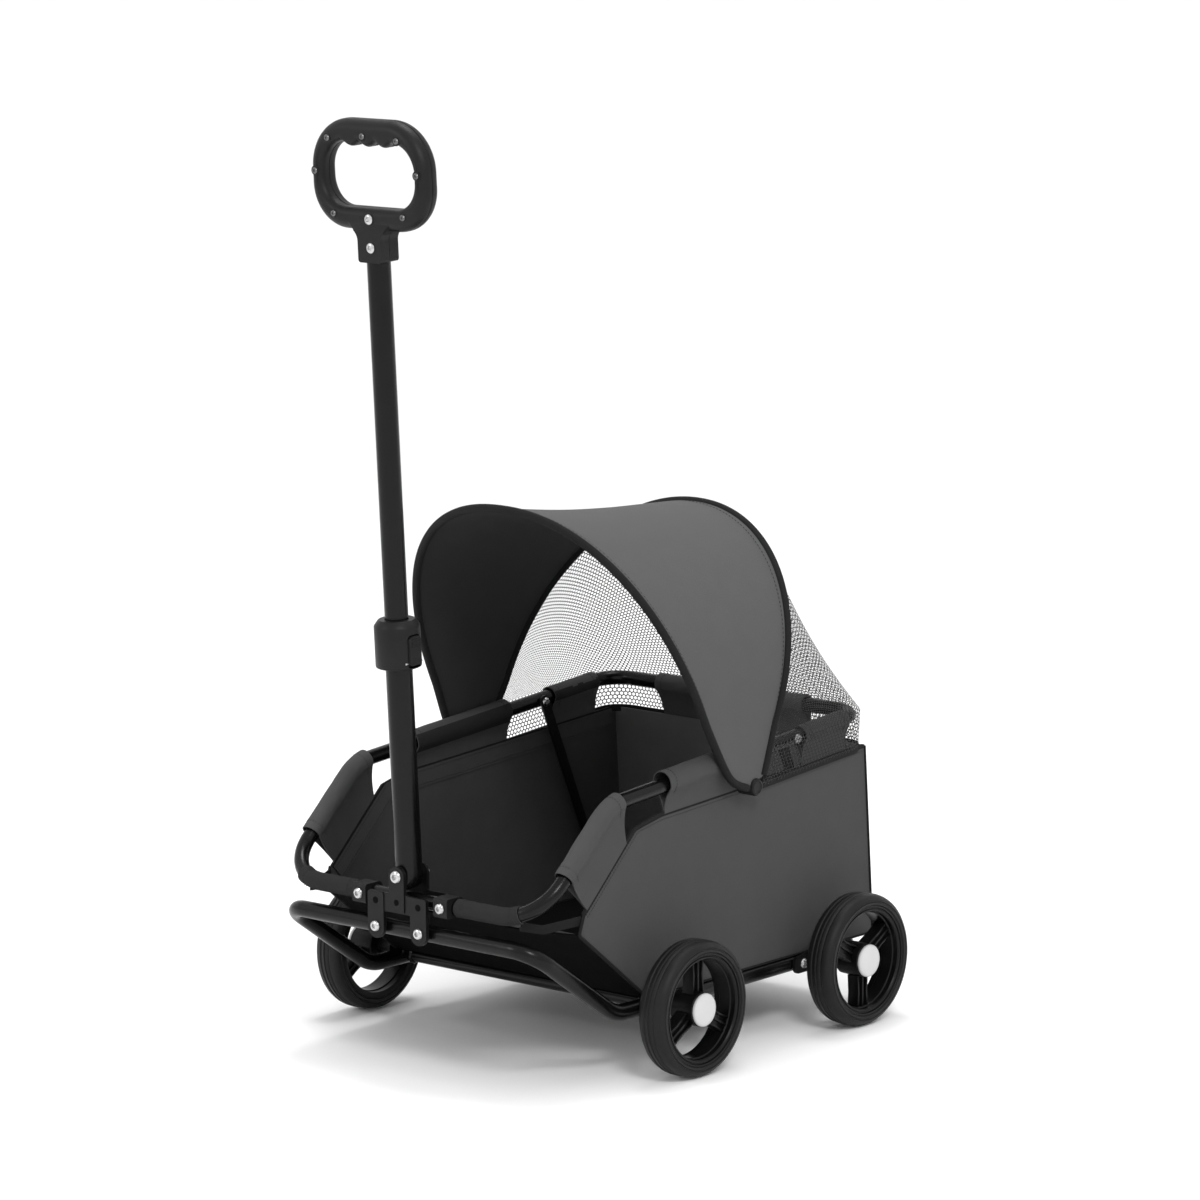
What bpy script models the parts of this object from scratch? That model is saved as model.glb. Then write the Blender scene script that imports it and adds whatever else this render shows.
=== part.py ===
"""A small pull-along pet stroller: tube frame, four wheels, folding-canopy cabin and a telescopic pole.

+X is the stroller's right side, -Y its front (the pole end), +Z up. Everything is laid out from a point on the
ground midway between the two axles, and the finished stroller is then moved along Y, so that the origin is at the
middle of its overall length and width, on the ground. All sizes are in metres.
"""
import math

import bmesh
import bpy
from mathutils import Matrix, Vector

# ---- Origin ---------------------------------------------------------------------------------------------------
ORIGIN_BEHIND_GRIP = 0.064671  # the axles' middle lies this far behind the middle of the overall length

# ---- Driving sizes -------------------------------------------------------------------------------------------
GAP = 0.0003                  # clearance between pieces that rest on each other
RUNNING_GAP = 0.0004          # clearance between pieces that turn or slide on each other
FABRIC = 0.0016               # thickness of the body cloth
BODY_HALF_WIDTH = 0.1600      # centre line of the rim tube from the middle

# Wheels and axles
WHEEL_RADIUS = 0.065
WHEEL_WIDTH = 0.031
WHEELBASE = 0.2488
TYRE_WALL = 0.0115            # radial thickness of the rubber
RIM_WALL = 0.0060             # radial thickness of the moulded rim under the tyre
HUB_RADIUS = 0.0165
CAP_RADIUS = 0.0158
AXLE_RADIUS = 0.0040
SPOKE_WIDTH = 0.0165
SPOKE_COUNT = 3
WHEEL_CLEARANCE = 0.0235      # from the axle plate to the wheel's inner face

# Undercarriage
RAIL_RADIUS = 0.0080
RAIL_HALF_WIDTH = BODY_HALF_WIDTH - 0.0040   # centre line of a side rail from the middle
RAIL_DROP = 0.0040            # rail centre below the axle
FRAME_REAR = 0.1900           # centre line of the rear tube
RAIL_JOINT = 0.1500           # where the side rails meet the bumper tube and the rear tube
BUMPER_FRONT = -0.2915
BUMPER_HEIGHT = 0.1400
ARM_FOOT = -0.1780            # where an arm of the bumper reaches the rail's height
CROSS_RADIUS = 0.0060
PLATE = 0.0030                # thickness of axle plates and brackets

# Body rim
RIM_RADIUS = 0.0072
RIM_FRONT = -0.2890
RIM_FRONT_HEIGHT = 0.1690
SLOPE_RUN = 0.1020            # the rim's front slope, along Y
SLOPE_RISE = 0.0930
RIM_REAR = 0.1870
RIM_REAR_RISE = 0.0300        # the side rail's rise from the top of the slope to the rear corner
RIM_JOINT = -0.0600           # where the front and rear half of the rim meet, under a sleeve
FRONT_CORNER = 0.0450         # bend radii of the rim
SLOPE_BEND = 0.0600
REAR_CORNER = 0.0280
SLEEVE_OUTER = RIM_RADIUS + RUNNING_GAP + FABRIC
SLOPE_SLEEVE = (0.0500, 0.1480)   # ends of the slope's sleeve, along the rim from the front corner
SIDE_SLEEVE = (-0.1120, 0.0250)   # ends of the side rail's sleeve, along Y
CORNER_SLEEVE_FRONT = 0.0920  # front end of the sleeve before the rear corner
FRONT_SLEEVE_BEND = 0.0220    # how far the front bar's sleeve reaches round the corner
HEM_DROP = 0.0370             # from the rim's centre line down to the netting's lower edge
HOOD_FRONT = 0.0500           # front end of the netting along the side rail
STAY_TOP = 0.0750             # where a side stay meets the rim, along Y
STAY_FOOT = 0.1660
STAY_WIDTH = 0.0110
STAY_THICKNESS = 0.0030

# Fabric body
BOARD = 0.0050                # thickness of the floor board
BOARD_MARGIN = 0.0120         # from the board's ends to the body cloth
FLOOR_FRONT = -0.1360
BODY_REAR = 0.2065            # outside of the rear panel at the floor
BODY_REAR_LEAN = 0.0125       # how far the rear panel leans forward at its top edge
PANEL_DROP = 0.0330           # from the rim's centre line down to the panels' top edge, at the rear
PANEL_DROP_FRONT = 0.0240     # the same at the top of the slope
SLOPE_DROP = 0.0470           # the same at the front slope, square to the slope
LOW_CORNER = (-0.2330, 0.1470)  # front low corner of a side panel
PANEL_TOP_FRONT = -0.1150     # front end of the panels' top edge
PANEL_SLOPE_RUN = 0.0340      # upper end of the panels' sloping edge, behind the top of the rim's slope
FRONT_LIP_HALF_WIDTH = 0.1340 # half width of the front panel's top edge

# Canopy
BOW_RADIUS = 0.0036
BUTTON_Y = 0.0050
BUTTON_Z = 0.2500
BUTTON_RADIUS = 0.0085
CANOPY_HALF_WIDTH = BODY_HALF_WIDTH + 0.0165   # bow centre line at the side tips
FRONT_BOW_TILT = math.radians(25.0)
FRONT_BOW_FOOT = (-0.0250, 0.2400)
FRONT_BOW_HEIGHT = 0.3080
REAR_BOW_TILT = math.radians(-26.0)
REAR_BOW_FOOT = (0.0100, 0.2450)
REAR_BOW_HEIGHT = 0.2750
CANOPY_CLOTH = 0.0012
MESH_CLOTH = 0.0010
EDGE_CLEARANCE = 0.0026       # from a bow's surface to the cloth that is bound to it
HEM_CLEARANCE = 0.0016        # from the body cloth to the netting's lower edge

# Pole, in a frame with its origin on the pole bolt and +Z along the pole
POLE_BOLT_Y = -0.2880
POLE_LEAN = math.radians(2.93)
LOWER_TUBE_RADIUS = 0.0125
TUBE_WALL = 0.0011
UPPER_TUBE_RADIUS = LOWER_TUBE_RADIUS - TUBE_WALL - RUNNING_GAP
POLE_FOOT = LOWER_TUBE_RADIUS + 0.0013   # from the bolt to the rounded lower end
POLE_BOLT_Z = RIM_FRONT_HEIGHT + RIM_RADIUS + POLE_FOOT + 0.0023
LOWER_TUBE_TOP = 0.2360
COLLAR_BOTTOM = 0.1980
COLLAR_TOP = 0.2430
COLLAR_RADIUS = LOWER_TUBE_RADIUS + 0.0090
LATCH_WIDTH = 0.0150
LATCH_HEIGHT = 0.0250         # from the latch's pin to its upper end
UPPER_TUBE_BOTTOM = 0.1950    # lower end of the upper tube with the pole fully out
UPPER_TUBE_TOP = 0.6100
GRIP_NECK = UPPER_TUBE_TOP - 0.0350   # lower end of the grip's neck
GRIP_CENTRE = UPPER_TUBE_TOP + 0.0445
GRIP_NECK_HALF_WIDTH = UPPER_TUBE_RADIUS + 0.0055
GRIP_WIDTH = 0.1420
GRIP_HEIGHT = 0.1010
GRIP_DEPTH = 0.0240
GRIP_LIMB = 0.0150            # width of the grip's side limbs
GRIP_BAR = 0.0205             # height of the grip's top and bottom bars
FINGER_PITCH = 0.0200
FINGER_DEPTH = 0.0050

# Bracket at the front
BRACKET_GAP = LOWER_TUBE_RADIUS + 0.0015   # from the pole's centre plane to a plate's inner face
BRACKET_TAB = 0.0095          # half width of the tab that holds the pole bolt
BRACKET_STEP = 0.0180         # height of the bridge between the legs
BRACKET_LEG_X = 0.0268
BRACKET_LEG_WIDTH = 0.0200
BRACKET_LEG_BOTTOM = 0.1305
BRACKET_LEG_TOP = 0.1755
BRACKET_BACK_BOTTOM = 0.1620
CLAMP_X = 0.0514
CLAMP_WIDTH = 0.0170
CLAMP_WALL = RIM_RADIUS + 0.0022
CLAMP_FRONT = 0.0135          # from the bar's centre line to the clamp's front and back faces
CLAMP_BACK = 0.0105

# ---- Derived places ------------------------------------------------------------------------------------------
RAIL_Z = WHEEL_RADIUS - RAIL_DROP
PLATE_X = RAIL_HALF_WIDTH + RAIL_RADIUS + GAP          # inner face of an axle plate
WHEEL_INNER_X = PLATE_X + PLATE + WHEEL_CLEARANCE
WHEEL_X = WHEEL_INNER_X + WHEEL_WIDTH / 2
FLOOR_Z = RAIL_Z + RAIL_RADIUS + GAP                   # underside of the fabric floor
BOARD_Z = FLOOR_Z + FABRIC + GAP
SLOPE_TOP_Y = RIM_FRONT + SLOPE_RUN
SLOPE_TOP_Z = RIM_FRONT_HEIGHT + SLOPE_RISE
RIM_REAR_Z = SLOPE_TOP_Z + RIM_REAR_RISE
PANEL_X = BODY_HALF_WIDTH - FABRIC / 2                 # inner face of a side panel
SIDES = (("left", -1), ("right", 1))


def rim_height(y):
    """Height of the rim's centre line on its nearly level side stretch."""
    return SLOPE_TOP_Z + RIM_REAR_RISE * (y - SLOPE_TOP_Y) / (RIM_REAR - SLOPE_TOP_Y)


def panel_top(y):
    """Height of the side panels' top edge."""
    front, rear = SLOPE_TOP_Z - PANEL_DROP_FRONT, RIM_REAR_Z - PANEL_DROP
    return front + (rear - front) * (y - SLOPE_TOP_Y) / (RIM_REAR - SLOPE_TOP_Y)


# ---- Materials -----------------------------------------------------------------------------------------------
def material(name, color, roughness, metallic=0.0):
    made = bpy.data.materials.new(name)
    made.use_nodes = True
    shader = made.node_tree.nodes["Principled BSDF"]
    shader.inputs["Base Color"].default_value = (*color, 1.0)
    shader.inputs["Roughness"].default_value = roughness
    shader.inputs["Metallic"].default_value = metallic
    return made


# ---- Building blocks -----------------------------------------------------------------------------------------
def add(name, mesh, mat, parent=None, matrix=None):
    """Put a mesh in the scene as one named sub-part, shaded smooth except over sharp edges."""
    mesh.materials.clear()
    mesh.materials.append(mat)
    mesh.shade_smooth()
    mesh.set_sharp_from_angle(angle=math.radians(35))
    part = bpy.data.objects.new(name, mesh)
    bpy.context.collection.objects.link(part)
    if matrix is not None:
        part.matrix_basis = matrix
    part.parent = parent
    return part


def empty(name, location, rotation=(0, 0, 0), parent=None):
    made = bpy.data.objects.new(name, None)
    bpy.context.collection.objects.link(made)
    made.location = location
    made.rotation_euler = rotation
    made.parent = parent
    return made


def to_mesh(name, bm):
    bmesh.ops.recalc_face_normals(bm, faces=bm.faces)
    mesh = bpy.data.meshes.new(name)
    bm.to_mesh(mesh)
    bm.free()
    return mesh


def rounded_path(points, radii, step=math.radians(18)):
    """Straight runs through points, with an arc of the given radius at each inner point."""
    points = [Vector(p) for p in points]
    path = [points[0]]
    for before, corner, after, radius in zip(points, points[1:], points[2:], radii):
        into, out = (corner - before).normalized(), (after - corner).normalized()
        turn = into.angle(out)
        if turn < 1e-4:
            continue
        normal = into.cross(out).normalized()
        start = corner - into * radius * math.tan(turn / 2)
        centre = start + normal.cross(into) * radius
        count = max(2, round(turn / step))
        for i in range(count + 1):
            path.append(centre + Matrix.Rotation(turn * i / count, 3, normal) @ (start - centre))
    path.append(points[-1])
    return path


def mirrored_path(half):
    """A path that is symmetric about X = 0, from its half on the +X side, which starts in the middle."""
    left = [Vector((-p.x, p.y, p.z)) for p in reversed(half)]
    return [p for p in left if p.x < -1e-6] + [p for p in half if p.x > 1e-6]


def stretch(path, start, end):
    """The part of a path between two distances along it."""
    result, done = [], 0.0
    for a, b in zip(path, path[1:]):
        span = (b - a).length
        for edge in (start, end):
            if done <= edge < done + span:
                result.append(a.lerp(b, (edge - done) / span))
        done += span
        if start + 0.001 < done < end - 0.001:
            result.append(b)
    return result


def sweep(name, path, profile, up):
    """Carry a closed profile of (side, up) points along a path and cap both ends.

    The profile may be a function of the point on the path that gives the profile there.
    """
    bm = bmesh.new()
    rings = []
    for i, point in enumerate(path):
        before, after = path[max(i - 1, 0)], path[min(i + 1, len(path) - 1)]
        tangent = (after - before).normalized()
        vertical = Vector(up(tangent) if callable(up) else up)
        vertical = (vertical - tangent * vertical.dot(tangent)).normalized()
        side = vertical.cross(tangent)
        here = profile(point, vertical) if callable(profile) else profile
        rings.append([bm.verts.new(point + side * u + vertical * v) for u, v in here])
    for first, second in zip(rings, rings[1:]):
        for i in range(len(first)):
            j = (i + 1) % len(first)
            bm.faces.new((first[i], first[j], second[j], second[i]))
    bm.faces.new(rings[0])
    bm.faces.new(rings[-1])
    return to_mesh(name, bm)


def circle(radius, sides=12):
    return [(radius * math.cos(2 * math.pi * i / sides), radius * math.sin(2 * math.pi * i / sides))
            for i in range(sides)]


def tube(name, path, radius, mat, parent=None, sides=12):
    """A round bar along a path; the frame of reference avoids lining up with any run of the path."""
    return add(name, sweep(name, path, circle(radius, sides), lambda t: (0.05, 0.03, 1.0)
                           if abs(t.z) < 0.9 else (0.0, 1.0, 0.05)), mat, parent)


def lathe(name, profile, segments=32, axis="Z"):
    """Turn a closed profile of (radius, height) points about an axis."""
    bm = bmesh.new()
    on_axis = {}
    rings = []
    for i in range(segments):
        angle = 2 * math.pi * i / segments
        ring = []
        for k, (r, h) in enumerate(profile):
            if r < 1e-7:
                if k not in on_axis:
                    on_axis[k] = bm.verts.new((0, 0, h))
                ring.append(on_axis[k])
            else:
                ring.append(bm.verts.new((r * math.cos(angle), r * math.sin(angle), h)))
        rings.append(ring)
    for i in range(segments):
        first, second = rings[i], rings[(i + 1) % segments]
        for k in range(len(profile)):
            m = (k + 1) % len(profile)
            corners = []
            for vert in (first[k], first[m], second[m], second[k]):
                if vert not in corners:
                    corners.append(vert)
            if len(corners) > 2:
                bm.faces.new(corners)
    if axis == "X":
        bmesh.ops.rotate(bm, verts=bm.verts, matrix=Matrix.Rotation(math.pi / 2, 3, "Y"))
    elif axis == "Y":
        bmesh.ops.rotate(bm, verts=bm.verts, matrix=Matrix.Rotation(-math.pi / 2, 3, "X"))
    return to_mesh(name, bm)


def slab(name, outline, low, high, axis="Y", chamfer=0.0, chamfer_low=False, chamfer_high=False):
    """Extrude an outline of (a, b) points between two planes, with optional chamfers on the end faces' edges.

    The outline lies in XZ for axis Y, in YZ for axis X and in XY for axis Z.
    """
    def place(a, b, c):
        return {"X": (c, a, b), "Y": (a, c, b), "Z": (a, b, c)}[axis]

    def inset(points, amount):
        centre = Vector((sum(p[0] for p in points), sum(p[1] for p in points))) / len(points)
        result = []
        for i, p in enumerate(points):
            before, after = Vector(points[i - 1]), Vector(points[(i + 1) % len(points)])
            here = Vector(p)
            a, b = (here - before).normalized(), (after - here).normalized()
            normal = Vector((-(a.y + b.y), a.x + b.x))
            if area > 0:
                inward = normal.normalized()
            else:
                inward = -normal.normalized()
            stretch = max(0.5, math.cos(a.angle(b, 0.0) / 2))
            result.append(here + inward * amount / stretch)
        return result

    area = sum(outline[i - 1][0] * outline[i][1] - outline[i][0] * outline[i - 1][1]
               for i in range(len(outline)))
    levels = []
    if chamfer and chamfer_low:
        levels.append((inset(outline, chamfer), low))
        levels.append((outline, low + chamfer))
    else:
        levels.append((outline, low))
    if chamfer and chamfer_high:
        levels.append((outline, high - chamfer))
        levels.append((inset(outline, chamfer), high))
    else:
        levels.append((outline, high))
    bm = bmesh.new()
    rings = [[bm.verts.new(place(p[0], p[1], level)) for p in points] for points, level in levels]
    for first, second in zip(rings, rings[1:]):
        for i in range(len(outline)):
            j = (i + 1) % len(outline)
            bm.faces.new((first[i], first[j], second[j], second[i]))
    bm.faces.new(rings[0])
    bm.faces.new(rings[-1])
    bm.normal_update()
    bmesh.ops.triangulate(bm, faces=[f for f in bm.faces if len(f.verts) > 4])
    return to_mesh(name, bm)


def rounded_outline(corners, radii, step=math.radians(22.5)):
    """A closed outline of (a, b) corners with an arc at each corner whose radius isn't zero."""
    outline = []
    count = len(corners)
    for i, (corner, radius) in enumerate(zip(corners, radii)):
        here = Vector(corner)
        before, after = Vector(corners[i - 1]), Vector(corners[(i + 1) % count])
        if radius <= 0:
            outline.append(tuple(here))
            continue
        into, out = (here - before).normalized(), (after - here).normalized()
        turn = into.angle_signed(out)
        reach = radius * math.tan(abs(turn) / 2)
        start = here - into * reach
        toward = Vector((-into.y, into.x)) * (-1 if turn > 0 else 1)
        centre = start + toward * radius
        steps = max(2, round(abs(turn) / step))
        for k in range(steps + 1):
            spin = Matrix.Rotation(-turn * k / steps, 2)
            outline.append(tuple(centre + spin @ (start - centre)))
    return outline


def cutter(name, mesh, parent=None, matrix=None):
    """A body that is only used to cut others: hidden, and drawn as wire."""
    body = bpy.data.objects.new(name, mesh)
    bpy.context.collection.objects.link(body)
    if matrix is not None:
        body.matrix_basis = matrix
    body.parent = parent
    body.hide_render = True
    body.display_type = "WIRE"
    return body


def boolean(part, other, operation="DIFFERENCE"):
    step = part.modifiers.new(operation.title(), "BOOLEAN")
    step.operation = operation
    step.object = other
    step.solver = "EXACT"
    return step


def bar_mesh(name, radius, length, axis, segments=16):
    return lathe(name, [(0, -length / 2), (radius, -length / 2), (radius, length / 2), (0, length / 2)],
                 segments, axis)


# ---- Undercarriage -------------------------------------------------------------------------------------------
def undercarriage(steel):
    joint = RAIL_JOINT + GAP / 2
    half = rounded_path([(0, BUMPER_FRONT, BUMPER_HEIGHT), (RAIL_HALF_WIDTH, BUMPER_FRONT, BUMPER_HEIGHT),
                         (RAIL_HALF_WIDTH, ARM_FOOT, RAIL_Z), (RAIL_HALF_WIDTH, -joint, RAIL_Z)],
                        [0.026, 0.050])
    tube("bumper_tube", mirrored_path(half), RAIL_RADIUS, steel)
    for side, sign in SIDES:
        x = sign * RAIL_HALF_WIDTH
        rail = [Vector((x, -RAIL_JOINT + GAP / 2, RAIL_Z)), Vector((x, RAIL_JOINT - GAP / 2, RAIL_Z))]
        tube(f"side_rail_{side}", rail, RAIL_RADIUS, steel)
    half = rounded_path([(0, FRAME_REAR, RAIL_Z), (RAIL_HALF_WIDTH, FRAME_REAR, RAIL_Z),
                         (RAIL_HALF_WIDTH, joint, RAIL_Z)], [0.030])
    tube("rear_tube", mirrored_path(half), RAIL_RADIUS, steel)
    reach = RAIL_HALF_WIDTH - RAIL_RADIUS - GAP
    for end, sign in (("front", -1), ("rear", 1)):
        y = sign * WHEELBASE / 2
        cross = [Vector((-reach, y, RAIL_Z)), Vector((reach, y, RAIL_Z))]
        tube(f"{end}_cross_tube", cross, CROSS_RADIUS, steel, sides=10)


def axle(name, sign, y, steel):
    """A bolted plate with its stub axle: a shoulder up to the wheel, then the pin that the wheel turns on."""
    inner = PLATE_X + PLATE
    pin_end = WHEEL_INNER_X + WHEEL_WIDTH - 0.004
    pin = lathe(name + "_pin", [(0, inner - 0.001), (0.0075, inner - 0.001),
                                (0.0075, WHEEL_INNER_X - RUNNING_GAP), (AXLE_RADIUS, WHEEL_INNER_X - RUNNING_GAP),
                                (AXLE_RADIUS, pin_end), (0, pin_end)], 14, "X")
    stub = cutter(name + "_stub", pin, matrix=Matrix.Diagonal((sign, 1, 1, 1))
                  @ Matrix.Translation((0, y, WHEEL_RADIUS)))
    if sign < 0:
        stub.data.flip_normals()
    forward = -0.048 if y > 0 else 0.048
    corners = [(y + forward, RAIL_Z - 0.009), (y - forward * 0.35, RAIL_Z - 0.009),
               (y - forward * 0.35, WHEEL_RADIUS + 0.012), (y + forward, RAIL_Z + 0.007)]
    low, high = sorted((sign * PLATE_X, sign * inner))
    plate = slab(name, rounded_outline(corners, [0.006] * 4), low, high, "X")
    boolean(add(name, plate, steel), stub, "UNION")


# ---- Wheels --------------------------------------------------------------------------------------------------
def window_outline(inner, outer, half_gap, fillet=0.004):
    """One opening between two spokes: an inner and an outer arc, with the spokes' parallel edges between."""
    sector = math.pi / SPOKE_COUNT
    points = []
    for radius, order in ((outer, 1), (inner, -1)):
        edge = sector - math.asin(half_gap / radius)
        steps = 5 if order > 0 else 3
        for i in range(steps + 1):
            angle = order * (-edge + 2 * edge * i / steps)
            points.append((radius * math.cos(angle), radius * math.sin(angle)))
    radii = [0.0] * len(points)
    for i in (0, 5, 6, 9):
        radii[i] = min(fillet, (outer - inner) / 8)
    return rounded_outline(points, [r * 0.5 for r in radii])


def wheel(where, sign, y, plastic, rubber, cap_plastic, spoke_angle):
    """Rim, tyre and hub cap, built about the wheel's axis; local +Z points away from the stroller."""
    turn = Matrix.Rotation(sign * math.pi / 2, 4, "Y")
    hub = empty(f"wheel_{where}", (sign * WHEEL_X, y, WHEEL_RADIUS))
    half = WHEEL_WIDTH / 2
    seat = WHEEL_RADIUS - TYRE_WALL
    inside = seat - RIM_WALL
    bore = AXLE_RADIUS + RUNNING_GAP
    web = 0.0060
    rim = lathe(f"wheel_rim_{where}", [
        (bore, -half), (HUB_RADIUS, -half), (HUB_RADIUS, -web), (inside, -web), (inside, -half + 0.002),
        (seat, -half + 0.002), (seat, half - 0.002), (inside, half - 0.002), (inside, web),
        (HUB_RADIUS, web), (HUB_RADIUS, half - 0.0035), (bore, half - 0.0035)], 28)
    rim = add(f"wheel_rim_{where}", rim, plastic, hub, turn)
    outline = window_outline(HUB_RADIUS + 0.002, inside - 0.0015, SPOKE_WIDTH / 2)
    for i in range(SPOKE_COUNT):
        spin = Matrix.Rotation(spoke_angle + math.pi / SPOKE_COUNT + 2 * math.pi * i / SPOKE_COUNT, 4, "Z")
        window = slab(f"window_{where}_{i}", outline, -2 * web, 2 * web, "Z")
        boolean(rim, cutter(f"window_{where}_{i}", window, hub, turn @ spin))
    tyre = lathe(f"tyre_{where}", [
        (seat + GAP, -half + 0.001), (WHEEL_RADIUS - 0.0045, -half + 0.0005),
        (WHEEL_RADIUS - 0.0006, -half + 0.0045), (WHEEL_RADIUS, 0), (WHEEL_RADIUS - 0.0006, half - 0.0045),
        (WHEEL_RADIUS - 0.0045, half - 0.0005), (seat + GAP, half - 0.001)], 28)
    add(f"tyre_{where}", tyre, rubber, hub, turn)
    cap = lathe(f"hub_cap_{where}", [
        (0, half - 0.0035 + GAP), (CAP_RADIUS, half - 0.0035 + GAP), (CAP_RADIUS, half - 0.0005),
        (CAP_RADIUS * 0.85, half + 0.0010), (0, half + 0.0016)], 20)
    add(f"hub_cap_{where}", cap, cap_plastic, hub, turn)


# ---- Body rim, stays and sleeves -----------------------------------------------------------------------------
def rim_half_path():
    """Right half of the rim's centre line, from the middle of the front bar to the middle of the rear bar."""
    w = BODY_HALF_WIDTH
    return [(0, RIM_FRONT, RIM_FRONT_HEIGHT), (w, RIM_FRONT, RIM_FRONT_HEIGHT), (w, SLOPE_TOP_Y, SLOPE_TOP_Z),
            (w, RIM_JOINT, rim_height(RIM_JOINT)), (w, RIM_REAR, RIM_REAR_Z), (0, RIM_REAR, RIM_REAR_Z)]


def rim_tubes(steel):
    points = rim_half_path()
    joint = Vector((0, GAP / 2, 0))
    front = rounded_path(points[:3] + [Vector(points[3]) - joint], [FRONT_CORNER, SLOPE_BEND])
    tube("rim_tube_front", mirrored_path(front), RIM_RADIUS, steel, sides=10)
    rear = rounded_path([points[5], points[4], Vector(points[3]) + joint], [REAR_CORNER])
    tube("rim_tube_rear", mirrored_path(rear), RIM_RADIUS, steel, sides=10)


def stay(side, sign, steel):
    """Flat bar on the inside of the cabin, from a bolt on the rim down past the floor board's edge."""
    outer = BODY_HALF_WIDTH - RIM_RADIUS - GAP
    top = Vector((STAY_TOP, rim_height(STAY_TOP)))
    foot = Vector((STAY_FOOT, BOARD_Z))
    along = (foot - top).normalized()
    across = Vector((-along.y, along.x)) * STAY_WIDTH / 2
    start = top - along * STAY_WIDTH * 0.55
    level = Vector((across.length / abs(along.y), 0))
    outline = [tuple(start - across), tuple(start + across), tuple(foot + level), tuple(foot - level)]
    low, high = sorted((sign * outer, sign * (outer - STAY_THICKNESS)))
    shape = rounded_outline(outline, [STAY_WIDTH * 0.36] * 2 + [0, 0])
    add(f"stay_{side}", slab(f"stay_{side}", shape, low, high, "X"), steel)


def sleeve_profile(tail):
    """A strip of cloth wrapped round the tube, with a tail of the given length that hangs from it."""
    step = 33
    inner, outer, half = (RIM_RADIUS + RUNNING_GAP) / math.cos(math.radians(step / 2)), SLEEVE_OUTER, FABRIC / 2
    wrap = [math.radians(a) for a in range(-90, 241, step)]
    outside = [(outer * math.cos(a), outer * math.sin(a)) for a in wrap[1:]]
    inside = [(inner * math.cos(a), inner * math.sin(a)) for a in reversed(wrap)]
    start = math.sqrt(outer * outer - half * half)
    return [(half, -tail), (half, -start)] + outside + inside[:-1] + [(-half, -inner - 0.0001), (-half, -tail)]


def drop_to_panel(point, vertical):
    """Distance from the rim's centre line, against the vertical, to the edge of the side panel."""
    down = -Vector((vertical.y, vertical.z)).normalized()
    start = Vector((point.y, point.z))
    edge = [Vector(p) for p in side_outline()[2:6]]
    for a, b in zip(edge, edge[1:]):
        span = b - a
        across = down.x * span.y - down.y * span.x
        share = (down.y * (start.x - a.x) - down.x * (start.y - a.y)) / -across
        if -0.001 <= share <= 1.001:
            return (a + span * share - start).dot(down)
    return PANEL_DROP


def sleeve(name, path, tail, cloth, up):
    """A sleeve whose tail is a length, or a function of the point and the upward direction there."""
    shape = (lambda p, v: sleeve_profile(tail(p, v))) if callable(tail) else sleeve_profile(tail)
    add(name, sweep(name, path, shape, up), cloth)


def front_tail(point, vertical):
    """The tail under the front bar, shorter round the corner, where the bar leaves the front panel."""
    return max(SLEEVE_OUTER + 0.0008, SLEEVE_OUTER + 0.0046 - 1.2 * (point.y - RIM_FRONT))


def sleeves(cloth):
    w = BODY_HALF_WIDTH
    front_bar = rounded_path([(0, RIM_FRONT, RIM_FRONT_HEIGHT), (w, RIM_FRONT, RIM_FRONT_HEIGHT),
                              (w, SLOPE_TOP_Y, SLOPE_TOP_Z)], [FRONT_CORNER])
    slope = rounded_path([(w, RIM_FRONT, RIM_FRONT_HEIGHT), (w, SLOPE_TOP_Y, SLOPE_TOP_Z),
                          (w, RIM_JOINT, rim_height(RIM_JOINT))], [SLOPE_BEND])
    for side, sign in SIDES:
        flip = Vector((sign, 1, 1))
        run = stretch(slope, SLOPE_SLEEVE[0], SLOPE_SLEEVE[1])
        sleeve(f"slope_sleeve_{side}", [p * flip for p in run],
               lambda p, v: drop_to_panel(p, v) - 2 * GAP, cloth, (0, -1, 1))
        for name, ends in (("side", SIDE_SLEEVE), ("corner", (CORNER_SLEEVE_FRONT, RIM_REAR - REAR_CORNER))):
            run = [Vector((w, y, rim_height(y))) for y in ends]
            sleeve(f"{name}_sleeve_{side}", [p * flip for p in run],
                   lambda p, v: p.z - panel_top(p.y) - GAP, cloth, (0, 0, 1))
        run = stretch(front_bar, CLAMP_X + 0.014, w - FRONT_CORNER + FRONT_SLEEVE_BEND)
        sleeve(f"front_sleeve_{side}", [p * flip for p in run], front_tail, cloth, (0, -1.1, 1))
    run = [Vector((x, RIM_REAR, RIM_REAR_Z)) for x in (-0.094, 0.094)]
    sleeve("rear_sleeve", run, PANEL_DROP - GAP, cloth, (0, -0.2, 1))


# ---- Fabric body ---------------------------------------------------------------------------------------------
def side_outline():
    """Outline of a side panel: floor, rear edge, top edge, slope and front low corner, as (y, z) points."""
    top = [(y, panel_top(y)) for y in (PANEL_TOP_FRONT, RIM_REAR + 0.007)]
    slope_top = (SLOPE_TOP_Y + PANEL_SLOPE_RUN,
                 RIM_FRONT_HEIGHT + SLOPE_RUN + PANEL_SLOPE_RUN - SLOPE_DROP * math.sqrt(2) - 0.004)
    slope_low = (LOW_CORNER[0] + 0.007, LOW_CORNER[1] + 0.019)
    return [(FLOOR_FRONT, FLOOR_Z), (BODY_REAR, FLOOR_Z), (BODY_REAR - BODY_REAR_LEAN, top[1][1]),
            top[0], slope_top, slope_low, LOW_CORNER]


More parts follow.
